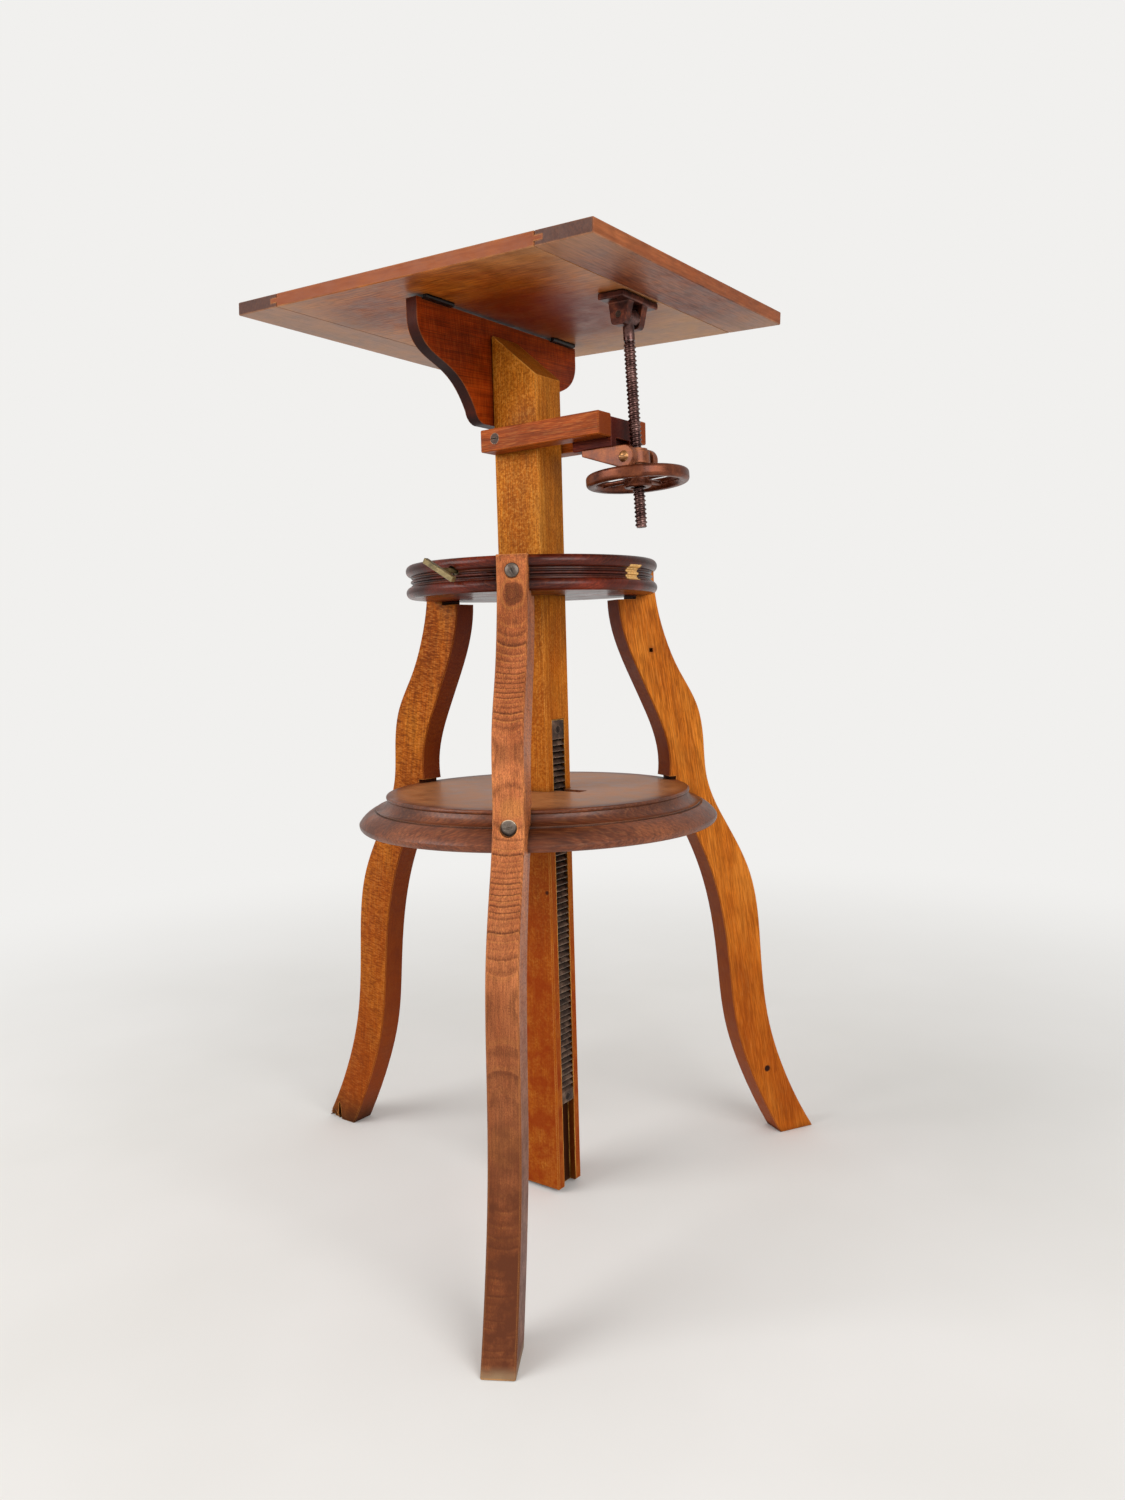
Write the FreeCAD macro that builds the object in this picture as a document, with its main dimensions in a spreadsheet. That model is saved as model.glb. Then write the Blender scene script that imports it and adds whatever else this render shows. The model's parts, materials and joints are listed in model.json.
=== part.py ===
import FreeCAD, Part
import math
import os
import re
from types import SimpleNamespace

# A wooden studio stand. Three shaped legs are screwed into a moulded ring and a moulded shelf.
# A rectangular column slides up through both on an iron rack and a pawl, and is clamped in the
# ring. It carries a table, hinged on a bracket board and tilted by a screw and a handwheel.
# Row frame: +Z up, floor at 0, +X is the rack and handwheel side, Y runs along the hinges.
# Each frame below is a place and a turn about Y, and each piece is drawn in the frame it belongs to.

V = FreeCAD.Vector
doc = FreeCAD.newDocument("StudioStand")
sheet = doc.addObject("Spreadsheet::Sheet", "Sizes")

sizes = {
    # the column's axis in the row frame
    "axisX": 67.5,
    # column
    "columnWidth": 58, "columnDepth": 41, "columnFoot": 3, "columnTop": 910,
    "columnFlat": 2, "columnFall": 48, "columnArris": 1.5, "columnPlay": 0.4,
    "grooveWidth": 21, "grooveDepth": 8,
    # rack
    "rackTop": 511, "rackHead": 20, "rackTail": 11.5, "rackPitch": 6.5, "rackTeeth": 59,
    "rackBase": 4, "rackToothDepth": 3.5, "rackTipLand": 1, "rackRootLand": 0.8, "rackPlay": 0.1,
    "rackScrewLong": 22,
    # pawl, its slot and its bracket
    "pawlX": 37, "pawlDrop": 4, "pawlWidth": 10, "pawlTooth": 49, "pawlPlay": 0.3,
    "pawlNoseIn": 2.5, "pawlBack": 2, "pawlBoss": 6, "pawlTail": 11, "pawlPin": 4,
    "slotEnd": 60, "slotWidth": 15,
    "pawlPlate": 2.5, "pawlPlateEnd": 74, "pawlPlateWidth": 36, "pawlPlateGap": 48,
    "pawlEar": 2, "pawlScrewLong": 14,
    # ring
    "ringRadius": 131.6, "ringBottom": 641, "ringTop": 675, "ringBead": 11.8,
    "ringNeck": 5.4, "ringFillet": 1.4, "ringReed": 2.8,
    "reedDip": 0.8, "coveDip": 1.4, "coveFoot": 1.6, "reedOut": 0.7, "beadTurn": 4.2,
    "plugWidth": 20, "plugTall": 14.5, "plugRise": 18, "plugFace": 128.5, "plugLong": 30,
    # shelf
    "shelfRadius": 190, "shelfBottom": 401, "shelfTop": 437, "shelfBead": 3.8,
    "shelfCove": 9.4, "shelfFillet": 1.6, "shelfRim": 30.5, "shelfLip": 17.5,
    "shelfQuirk": 0.6, "rimTurn": 6, "rimSole": 5.5, "rimBelly": 7.5, "rimShoulder": 2.5,
    # legs
    "legWidth": 29.4, "footHeel": 296, "footToe": 342, "legShelfOuter": 207,
    "legTopOuter": 138.5, "legShelfInner": 170, "haunchFoot": 153.1, "haunchTop": 94.4,
    "haunchGapAbove": 4, "haunchGapBelow": 3.5, "legArris": 1.2,
    "ringSeat": 115.5, "shelfSeat": 161,
    "nailSize": 4.5, "nailDepth": 6, "nailRadius": 132.5, "nailHeight": 581.5,
    # leg screws
    "legHead": 13, "legHeadTall": 2.6, "legHeadBore": 16, "legShank": 6, "screwPlay": 0.05,
    "ringScrewRise": 19, "ringScrewSeat": 138, "ringScrewLong": 50,
    "shelfScrewRise": 26, "shelfScrewSeat": 202, "shelfScrewLong": 66,
    # column clamp
    "clampX": 4, "clampRise": 22, "clampShank": 5, "clampTip": 0.2, "clampRivet": 3,
    "clampStand": 16.4, "clampBarLong": 41, "clampBar": 5.4, "clampBarTurn": 29.5, "clampArris": 0.5,
    "bushDiameter": 9, "bushLong": 30, "bushSunk": 7.6,
    # bracket board
    "boardThick": 14, "boardTop": 925.6, "boardBottom": 818.5, "boardHalf": 130, "boardEnd": 907,
    "scrollInner": 48.5, "scrollRise": 12.5, "boardFoot": 31,
    "boardScrewY": 10, "boardScrewLow": 838, "boardScrewHigh": 884, "boardScrewLong": 36,
    "woodHead": 9, "woodShank": 4.5,
    # hinges
    "hingeX": -25.3, "hingeRise": 1.2, "hingeBarrel": 2.5, "hingeLeaf": 1.2, "hingeReach": 17.4,
    "hingeIn": 82, "hingeLong": 40, "hingePin": 2.2, "knuckles": 5, "knuckleGap": 0.3,
    "barrelPlay": 0.4, "hingeHead": 5, "hingeShank": 2.8, "hingeScrewLong": 10,
    "hingeScrewEdge": 8, "hingeScrewIn": 11,
    # table
    "tableWide": 345, "tableThick": 13, "tableUnder": 1.3, "tableBack": 215.7, "seamPast": 3.4,
    "tableTilt": 2.66, "cleatWide": 60, "tongueLong": 9, "tongueThick": 4.5, "tableArris": 0.8,
    # yoke
    "yokeEnd": 118.5, "yokeBottom": 788.5, "yokeTop": 811, "yokeThick": 22,
    "padStart": 71, "padEnd": 118, "padBottom": 779, "padTop": 808.5, "woodArris": 1,
    "yokeScrewX": -10, "yokeScrewZ": 800.5, "yokeScrewLong": 38, "yokeHead": 11, "yokeShank": 5,
    "padNotchWide": 24, "padNotchDeep": 7,
    # clevis casting
    "clevisStart": 84, "clevisPlateEnd": 116, "clevisPlate": 6, "cheekGap": 30, "cheekThick": 8,
    "pivotX": 133, "pivotDrop": 11, "eyeRadius": 11, "pivotShank": 7, "pivotHead": 11,
    "pivotHeadTall": 3, "pivotTip": 11.2,
    "clevisScrewIn": 8, "clevisScrewLong": 24, "ironHead": 8, "ironShank": 4,
    # swivel block, handwheel and tilt screw
    "swivelRadius": 13.5, "swivelTall": 12, "swivelBoss": 11.6, "sidePlay": 0.3,
    "endPlay": 0.3, "runningPlay": 0.1, "neckDiameter": 19, "shoulderDiameter": 22,
    "shoulderTall": 6.5, "hubDiameter": 27, "hubTall": 15, "hubRound": 2, "rimDrop": 19.5,
    "collarDiameter": 23, "collarTall": 2.3, "threadBore": 14.6, "threadDiameter": 12,
    "rimRadius": 46.8, "rimDeep": 7.4, "rimTall": 12, "spokes": 4, "spokeWide": 7,
    "spokeTall": 5, "leanTrim": 0.4, "screwLong": 201.6, "screwNeck": 11, "screwNeckEnd": 23,
    "screwPoint": 1, "eyeDiameter": 18, "eyePlay": 0.3, "pinDiameter": 6,
    # table casting
    "pinReach": 152.9, "pinDrop": 16.7, "flangeLong": 30, "flangeWide": 62, "flangeThick": 6.5,
    "lugGap": 16, "lugThick": 9, "lugRoot": 12.5, "lugHalf": 8.6, "lugTip": 9.8, "lugCorner": 4.5,
    "flangeScrewY": 25, "flangeScrewLong": 16,
    "castArris": 1,
}

for row, (name, value) in enumerate(sizes.items(), start=1):
    sheet.set(f"A{row}", name)
    sheet.set(f"B{row}", str(value))
    sheet.setAlias(f"B{row}", name)
doc.recompute()
s = SimpleNamespace(**{name: float(sheet.get(name)) for name in sizes})

# frames
stand = FreeCAD.Placement(V(s.axisX, 0, 0), FreeCAD.Rotation())
table = FreeCAD.Placement(
    V(s.axisX + s.hingeX, 0, s.boardTop + s.hingeRise), FreeCAD.Rotation(V(0, 1, 0), s.tableTilt),
)
pin = table.multVec(V(s.pinReach, 0, -s.pinDrop))
pivot = V(s.axisX + s.pivotX, 0, s.padBottom - s.pivotDrop)
lean = math.degrees(math.atan2(pivot.x - pin.x, pin.z - pivot.z)) + s.leanTrim
hanging = FreeCAD.Placement(pin, FreeCAD.Rotation(V(0, 1, 0), -lean))
swivel = FreeCAD.Placement(pivot, FreeCAD.Rotation(V(0, 1, 0), -lean))

legTurns = {"front_leg": -60, "right_leg": 60, "left_leg": 180}
sides = (-1, 1)
clampSpot = ("clampX", "ringBottom + clampRise")
nodes = []


# ---- drawing helpers ----

def words(formula):
    # a formula in the sheet's words becomes an expression
    return re.sub(r"[A-Za-z]+", lambda w: f"Sizes.{w[0]}" if w[0] in sizes else w[0], str(formula))


def bind(piece, **formulas):
    for path, formula in formulas.items():
        piece.setExpression(path.replace("_", "."), words(formula))


def box(name, x, y, z, kind="Part::Box", body=None):
    # each of x, y and z is a pair of formulas: from, to
    piece = body.newObject(kind, name) if body else doc.addObject(kind, name)
    bind(
        piece,
        Length=f"({x[1]}) - ({x[0]})", Width=f"({y[1]}) - ({y[0]})", Height=f"({z[1]}) - ({z[0]})",
        Placement_Base_x=x[0], Placement_Base_y=y[0], Placement_Base_z=z[0],
    )
    return piece


def middle(wide):
    return f"-({wide}) / 2", f"({wide}) / 2"


def plank(name, x, y, z, arris):
    # a board or block with its edges broken
    body = doc.addObject("PartDesign::Body", name)
    stock = box(name + "Stock", x, y, z, "PartDesign::AdditiveBox", body)
    doc.recompute()
    edges = body.newObject("PartDesign::Chamfer", name + "Arris")
    edges.Base = (stock, ["Face1"])
    edges.UseAllEdges = True
    bind(edges, Size=arris)
    return body


def rod(name, axis, along, across, radius, turn=0):
    # a cylinder along an axis, from and to, with the other two coordinates in across
    turns = {"X": FreeCAD.Rotation(V(0, 1, 0), 90), "Y": FreeCAD.Rotation(V(1, 0, 0), -90)}
    piece = doc.addObject("Part::Cylinder", name)
    piece.Placement = FreeCAD.Placement(V(), turns.get(axis, FreeCAD.Rotation()))
    place = list(across)
    place.insert("XYZ".index(axis), along[0])
    bind(
        piece, Radius=radius, Height=f"({along[1]}) - ({along[0]})",
        Placement_Base_x=place[0], Placement_Base_y=place[1], Placement_Base_z=place[2],
    )
    return piece


def spoke(name, turn, along, height, radius):
    # a cylinder that points away from the column's axis, turned about it
    piece = doc.addObject("Part::Cylinder", name)
    aim = FreeCAD.Rotation(V(0, 0, 1), turn) * FreeCAD.Rotation(V(0, 1, 0), 90)
    piece.Placement = FreeCAD.Placement(V(), aim)
    bind(
        piece, Radius=radius, Height=f"({along[1]}) - ({along[0]})",
        Placement_Base_x=f"({along[0]}) * cos({turn})",
        Placement_Base_y=f"({along[0]}) * sin({turn})",
        Placement_Base_z=height,
    )
    return piece


def trace(start, *steps):
    # a closed outline: lines, arcs through a point, and smooth curves through several
    edges, here = [], start
    for kind, *through in [*steps, ("line", start)]:
        points = [V(*p, 0) for p in (here, *through)]
        if kind == "curve":
            edges.append(Part.BSplineCurve())
            edges[-1].interpolate(points)
        elif points[0].distanceToPoint(points[-1]) > 1e-6:
            edges.append(Part.Arc(*points) if kind == "arc" else Part.LineSegment(*points))
        here = through[-1]
    return edges


def sketchIn(body, name, plane, edges, lift="0"):
    sketch = body.newObject("Sketcher::SketchObject", name)
    support = next(o for o in body.Origin.OriginFeatures if o.Role == plane + "_Plane")
    sketch.AttachmentSupport = [(support, "")]
    sketch.MapMode = "FlatFace"
    bind(sketch, AttachmentOffset_Base_z=lift)
    sketch.addGeometry(edges, False)
    return sketch


def padded(name, plane, edges, thick, lift="0"):
    # an outline given an even thickness, half to each side of its plane
    body = doc.addObject("PartDesign::Body", name)
    sketch = sketchIn(body, name + "Outline", plane, edges, lift)
    pad = body.newObject("PartDesign::Pad", name + "Pad")
    pad.Profile = sketch
    pad.SideType = "Symmetric"
    bind(pad, Length=thick)
    return body


def pocket(body, name, plane, edges):
    sketch = sketchIn(body, name + "Outline", plane, edges)
    cutter = body.newObject("PartDesign::Pocket", name)
    cutter.Profile = sketch
    cutter.SideType = "Symmetric"
    cutter.Type = "ThroughAll"
    return cutter


def turned(name, edges, body=None):
    # an outline in X and Z, turned round Z
    body = body or doc.addObject("PartDesign::Body", name)
    sketch = sketchIn(body, name + "Outline", "XZ", edges)
    feature = body.newObject("PartDesign::Revolution", name + "Turned")
    feature.Profile = sketch
    feature.ReferenceAxis = (sketch, ["V_Axis"])
    feature.Angle = 360
    return body


def joined(name, *pieces):
    fuse = doc.addObject("Part::MultiFuse", name)
    fuse.Shapes = list(pieces)
    return fuse


def cut(name, base, *tools):
    result = doc.addObject("Part::Cut", name)
    result.Base = base
    result.Tool = tools[0] if len(tools) == 1 else joined(name + "Tools", *tools)
    return result


def held(piece):
    # one solid that keeps its own place when it is set in a frame
    whole = doc.addObject("Part::Compound", piece.Name + "Held")
    whole.Links = [piece]
    return whole


def node(label, piece, frame=stand, turn=0):
    piece.Label = label
    piece.Placement = frame * FreeCAD.Placement(V(), FreeCAD.Rotation(V(0, 0, 1), turn))
    nodes.append(piece)
    return piece


def group(label, shapes, frame=stand):
    piece = doc.addObject("Part::Feature", label)
    piece.Shape = Part.makeCompound(shapes)
    return node(label, piece, frame)


# ---- screws: each points down its own -Z, with its seat at 0 ----

def screwShape(head, headTall, shank, long, sunk):
    # a slotted screw: domed on its seat, or sunk flush with it
    neck = headTall if sunk else 0
    outline = [
        Part.LineSegment(V(0, 0, -long), V(shank / 2, 0, shank - long)),
        Part.LineSegment(V(shank / 2, 0, shank - long), V(shank / 2, 0, -neck)),
        Part.LineSegment(V(shank / 2, 0, -neck), V(head / 2, 0, 0)),
    ]
    if sunk:
        outline.append(Part.LineSegment(V(head / 2, 0, 0), V()))
        crown = 0
    else:
        crown = headTall
        ball = (head ** 2 / 4 + headTall ** 2) / (2 * headTall)
        half = math.asin(head / 2 / ball) / 2
        outline.append(Part.Arc(
            V(head / 2, 0, 0), V(ball * math.sin(half), 0, headTall - ball * (1 - math.cos(half))),
            V(0, 0, headTall),
        ))
    outline.append(Part.LineSegment(V(0, 0, crown), V(0, 0, -long)))
    solid = Part.Face(Part.Wire([e.toShape() for e in outline])).revolve(V(), V(0, 0, 1), 360)
    slotWide, slotDeep = head * 0.11, headTall * 0.4
    slot = Part.makeBox(head, slotWide, slotDeep, V(-head / 2, -slotWide / 2, crown - slotDeep))
    return solid.cut(slot)


def drive(shape, seat, aim, slotTurn=0):
    # set a screw so that it is driven along aim from its seat
    turn = FreeCAD.Rotation(V(0, 0, -1), aim) * FreeCAD.Rotation(V(0, 0, 1), slotTurn)
    return shape.transformed(FreeCAD.Placement(seat, turn).toMatrix())


def sink(name, head, shank, seat, aim):
    # the countersink that a sunk screw's head fits, a hair larger than the head
    cone = doc.addObject("Part::Cone", name)
    bind(
        cone, Radius1=f"{shank} / 2 + screwPlay", Radius2=f"{head} / 2 + screwPlay",
        Height=f"({head} - {shank}) / 2",
    )
    tall = (getattr(s, head) - getattr(s, shank)) / 2
    turn = FreeCAD.Rotation(V(0, 0, -1), aim)
    cone.Placement = FreeCAD.Placement(seat + aim * tall, turn)
    return cone


# ---- legs, ring and shelf ----

def legOutline():
    # outer and inner curves as shares of the heights and reaches between the foot, shelf and ring
    midShelf = (s.shelfBottom + s.shelfTop) / 2
    lowOuter = ((0.19, 0.696), (0.333, 0.553), (0.524, 0.479), (0.762, 0.378), (0.905, 0.156), (1, 0))
    highOuter = ((0.078, 0.914), (0.235, 0.867), (0.392, 0.752), (0.549, 0.422), (0.706, 0.166), (1, 0))
    lowInner = ((0.948, 0.095), (0.798, 0.302), (0.549, 0.455), (0.349, 0.534), (0.2, 0.688), (0, 1))
    highInner = ((0.812, 0.1), (0.608, 0.373), (0.405, 0.698), (0.201, 0.961), (0, 1))

    def between(shares, low, high, near, far):
        return [(near + reach * (far - near), low + rise * (high - low)) for rise, reach in shares]

    haunchLow, haunchHigh = s.shelfTop + s.haunchGapBelow, s.ringBottom - s.haunchGapAbove
    return trace(
        (s.footHeel, 0),
        ("line", (s.footToe, 0)),
        (
            "curve",
            *between(lowOuter, 0, midShelf, s.legShelfOuter, s.footToe),
            *between(highOuter, midShelf, s.ringTop, s.legTopOuter, s.legShelfOuter),
        ),
        ("line", (s.ringSeat, s.ringTop)),
        ("line", (s.ringSeat, haunchHigh)),
        ("line", (s.haunchTop, haunchHigh)),
        ("curve", *between(highInner, haunchLow, haunchHigh, s.haunchTop, s.haunchFoot)),
        ("line", (s.shelfSeat, haunchLow)),
        ("line", (s.shelfSeat, s.shelfBottom)),
        ("line", (s.legShelfInner, s.shelfBottom)),
        ("curve", *between(lowInner, 0, s.shelfBottom, s.legShelfInner, s.footHeel)),
    )


def makeLeg(label, turn):
    body = padded(label + "Board", "XZ", legOutline(), "legWidth")
    doc.recompute()
    pad = body.Tip
    curved = [
        f"Edge{i}" for i, e in enumerate(pad.Shape.Edges, start=1)
        if e.Curve.TypeId == "Part::GeomBSplineCurve"
    ]
    edges = body.newObject("PartDesign::Chamfer", label + "Arris")
    edges.Base = (pad, curved)
    bind(edges, Size="legArris")
    holes = []
    for where in ("ring", "shelf"):
        seat, height = f"{where}ScrewSeat", f"{where}Bottom + {where}ScrewRise"
        bore = rod(
            f"{label}_{where}Bore", "X", (seat, f"{seat} + legHeadBore"), ("0", height),
            "legHeadBore / 2",
        )
        hole = rod(f"{label}_{where}Hole", "X", ("0", seat), ("0", height), "legShank / 2 + screwPlay")
        holes += [bore, hole]
    if label == "right_leg":
        holes.append(box(
            label + "Nail", ("nailRadius - nailSize / 2", "nailRadius + nailSize / 2"),
            ("-legWidth / 2", "nailDepth - legWidth / 2"),
            ("nailHeight - nailSize / 2", "nailHeight + nailSize / 2"),
        ))
    node(label, cut(label + "Drilled", body, *holes), turn=turn)


def makeLegScrews(label, where):
    seat, long = getattr(s, where + "ScrewSeat"), getattr(s, where + "ScrewLong")
    height = getattr(s, where + "Bottom") + getattr(s, where + "ScrewRise")
    shape = screwShape(s.legHead, s.legHeadTall, s.legShank, long, sunk=False)
    screws = []
    for turn in legTurns.values():
        out = FreeCAD.Rotation(V(0, 0, 1), turn).multVec(V(1, 0, 0))
        screws.append(drive(shape, out * seat + V(0, 0, height), -out))
    group(label, screws)


def notchedDisc(name, outline, seat, radius):
    # a turned moulding with the column's hole and a notch for each leg
    body = turned(name, outline)
    halfX, halfY = s.columnWidth / 2 + s.columnPlay, s.columnDepth / 2 + s.columnPlay
    pocket(body, name + "Hole", "XY", trace(
        (-halfX, -halfY), ("line", (halfX, -halfY)), ("line", (halfX, halfY)),
        ("line", (-halfX, halfY)),
    ))
    past = radius * 1.1
    notch = pocket(body, name + "Notch", "XY", trace(
        (-past, -s.legWidth / 2), ("line", (-seat, -s.legWidth / 2)),
        ("line", (-seat, s.legWidth / 2)), ("line", (-past, s.legWidth / 2)),
    ))
    pattern = body.newObject("PartDesign::PolarPattern", name + "Notches")
    pattern.Originals = [notch]
    pattern.Axis = (notch.Profile[0], ["N_Axis"])
    pattern.Angle = 360
    pattern.Occurrences = len(legTurns)
    body.Tip = pattern
    return body


def makeRing():
    mid = (s.ringTop + s.ringBottom) / 2
    edge, neck = s.ringRadius, s.ringRadius - s.ringNeck
    fillet, reed, bead = s.ringFillet, s.ringReed / 2, s.ringBead

    def half(sign):
        # from the reed out to the face, above or below the middle
        face = mid + sign * (s.ringTop - s.ringBottom) / 2
        return [
            (neck - s.reedDip, mid + sign * reed),
            (neck - s.coveDip, face - sign * (bead + fillet + s.coveFoot)),
            (neck, face - sign * (bead + fillet)),
            (neck, face - sign * bead),
            (edge - s.beadTurn, face - sign * bead),
            (edge, face - sign * bead / 2),
            (edge - s.beadTurn, face),
        ]

    up, down = half(1), half(-1)[::-1]
    body = notchedDisc("ringDisc", trace(
        (0, s.ringBottom), ("line", down[0]), ("arc", down[1], down[2]), ("line", down[3]),
        ("line", down[4]), ("arc", down[5], down[6]), ("arc", (neck + s.reedOut, mid), up[0]),
        ("arc", up[1], up[2]), ("line", up[3]), ("line", up[4]), ("arc", up[5], up[6]),
        ("line", (0, s.ringTop)),
    ), s.ringSeat, s.ringRadius)
    tools = [
        spoke(f"ringPilot{turn}", turn, ("ringScrewSeat - ringScrewLong", "ringSeat + 1"),
              "ringBottom + ringScrewRise", "legShank / 2 + screwPlay")
        for turn in legTurns.values()
    ]
    plugTall = ("ringBottom + plugRise - plugTall / 2", "ringBottom + plugRise + plugTall / 2")
    tools.append(
        box("plugRecess", ("plugFace - plugLong", "ringRadius + 1"), middle("plugWidth"), plugTall),
    )
    tools.append(rod("clampWay", "Y", ("-ringRadius", "0"), clampSpot, "clampShank / 2 + runningPlay"))
    tools.append(
        rod(
            "bushWay", "Y", ("-ringRadius - 1", "bushLong + bushSunk - ringRadius"), clampSpot,
            "bushDiameter / 2",
        ),
    )
    node("upper_ring", cut("ringCut", body, *tools))
    node(
        "ring_plug", held(
            box("ringPlug", ("plugFace - plugLong", "plugFace"), middle("plugWidth"), plugTall),
        ),
    )


def makeShelf():
    # from the sole up: a rounded belly, a fillet, a cove with a quirk above it, and a small bead
    rim, lip = s.shelfRadius - s.shelfRim, s.shelfRadius - s.shelfLip
    top, low, edge = s.shelfTop, s.shelfBottom, s.shelfRadius
    coveTop = top - s.shelfBead - s.shelfQuirk
    coveFoot = coveTop - s.shelfCove
    step = coveFoot - s.shelfFillet
    body = notchedDisc("shelfDisc", trace(
        (0, low), ("line", (edge - s.rimSole, low)),
        ("arc", (edge - s.rimSole * 0.2, low + s.rimBelly * 0.35), (edge, low + s.rimBelly)),
        ("arc", (edge - s.rimTurn, step - s.rimTurn), (lip + s.rimShoulder, step)),
        ("line", (lip, step)), ("line", (lip, coveFoot)), ("line", (lip - s.shelfQuirk, coveFoot)),
        ("arc", (
            rim + s.shelfCove * 0.42, coveFoot + s.shelfCove * 0.34,
        ), (rim + s.shelfQuirk, coveTop)),
        ("line", (rim + 2 * s.shelfQuirk, top - s.shelfBead)),
        ("arc", (rim + s.shelfBead / 2, top - s.shelfBead / 2), (rim, top)),
        ("line", (0, top)),
    ), s.shelfSeat, s.shelfRadius)
    tools = [
        spoke(f"shelfPilot{turn}", turn, ("shelfScrewSeat - shelfScrewLong", "shelfSeat + 1"),
              "shelfBottom + shelfScrewRise", "legShank / 2 + screwPlay")
        for turn in legTurns.values()
    ]
    tools.append(
        box("pawlSlot", ("0", "slotEnd"), middle("slotWidth"), ("shelfBottom - 1", "shelfTop + 1")),
    )
    for i, (x, y) in enumerate(pawlScrewPlaces()):
        tools.append(rod(
            f"pawlPilot{i}", "Z", ("shelfBottom - 1", "shelfBottom - pawlPlate + pawlScrewLong"),
            (x, y), "hingeShank / 2 + screwPlay",
        ))
    node("lower_shelf", cut("shelfCut", body, *tools))


# ---- column, rack and pawl ----

def pawlScrewPlaces():
    inset = (s.hingeHead + s.pawlEar) / 2 + 1
    xs = (s.columnWidth / 2 + s.pawlEar + inset, s.pawlPlateEnd - inset)
    return [(x, side * (s.pawlPlateWidth / 2 - inset)) for x in xs for side in sides]


def makeColumn():
    stock = plank(
        "columnStock", middle("columnWidth"), middle("columnDepth"), ("columnFoot", "columnTop"),
        "columnArris",
    )
    run, fall = s.columnWidth - s.columnFlat, s.columnFall
    flatEnd = s.columnFlat - s.columnWidth / 2
    past = 0.1  # share of the slope by which the cutter runs past it
    high, low = s.columnTop + past * fall, s.columnTop - (1 + past) * fall
    slope = padded("columnSlope", "XZ", trace(
        (flatEnd - past * run, high), ("line", (flatEnd + (1 + past) * run, low)),
        ("line", (flatEnd + (1 + past) * run, high)),
    ), "columnDepth + 2")
    groove = box(
        "columnGroove", ("columnWidth / 2 - grooveDepth", "columnWidth"), middle("grooveWidth"),
        ("0", "rackTop"),
    )
    tools = [slope, groove]
    for i, (side, height) in enumerate(
        (a, b) for a in sides for b in ("boardScrewLow", "boardScrewHigh")
    ):
        tools.append(rod(
            f"boardPilot{i}", "X", ("-columnWidth", "boardScrewLong - columnWidth / 2 - boardThick"),
            (f"{side} * boardScrewY", height), "woodShank / 2 + screwPlay",
        ))
    for i, side in enumerate(sides):
        reach = sorted(
            (side * s.columnDepth, side * (s.columnDepth / 2 + s.yokeThick - s.yokeScrewLong)),
        )
        tools.append(
            rod(f"yokePilot{i}", "Y", reach, ("yokeScrewX", "yokeScrewZ"), "yokeShank / 2 + screwPlay"),
        )
    for i, height in enumerate(rackScrewHeights()):
        tools.append(rod(
            f"rackPilot{i}", "X", (f"{rackTip()} - rackScrewLong", "columnWidth / 2"), ("0", height),
            "ironShank / 2 + screwPlay",
        ))
    node("column", cut("columnCut", stock, *tools))


def rackTip():
    return s.columnWidth / 2 - s.grooveDepth + s.rackBase + s.rackToothDepth


def rackBottom():
    return s.rackTop - s.rackHead - s.rackTail - s.rackTeeth * s.rackPitch


def rackScrewHeights():
    return s.rackTop - s.rackHead / 2, rackBottom() + s.rackTail / 2


def makeRack():
    body = doc.addObject("PartDesign::Body", "rackBar")
    floor, tip = "columnWidth / 2 - grooveDepth", rackTip()
    box("rackStock", (
        floor, f"{floor} + rackBase + rackToothDepth",
    ), middle("grooveWidth - 2 * rackPlay"),
        (rackBottom(), "rackTop"), "PartDesign::AdditiveBox", body)
    doc.recompute()
    low, root = rackBottom() + s.rackTail, tip - s.rackToothDepth
    high = low + s.rackPitch
    gap = pocket(body, "toothGap", "XZ", trace(
        (tip + 1, low + s.rackTipLand), ("line", (tip, low + s.rackTipLand)),
        ("line", (root, high - s.rackRootLand)), ("line", (root, high)), ("line", (tip + 1, high)),
    ))
    pattern = body.newObject("PartDesign::LinearPattern", "toothGaps")
    pattern.Originals = [gap]
    pattern.Direction = (gap.Profile[0], ["V_Axis"])
    bind(pattern, Length="(rackTeeth - 1) * rackPitch", Occurrences="rackTeeth")
    body.Tip = pattern
    tools = []
    for i, height in enumerate(rackScrewHeights()):
        seat = V(tip, 0, height)
        tools.append(sink(f"rackSink{i}", "ironHead", "ironShank", seat, V(-1, 0, 0)))
        tools.append(
            rod(f"rackHole{i}", "X", ("0", "columnWidth"), ("0", height), "ironShank / 2 + screwPlay"),
        )
    node("rack", cut("rackCut", body, *tools))
    shape = screwShape(
        s.ironHead, (s.ironHead - s.ironShank) / 2, s.ironShank, s.rackScrewLong, sunk=True,
    )
    group(
        "rack_screws", [drive(shape, V(tip, 0, height), V(-1, 0, 0)) for height in rackScrewHeights()]
    )


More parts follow.
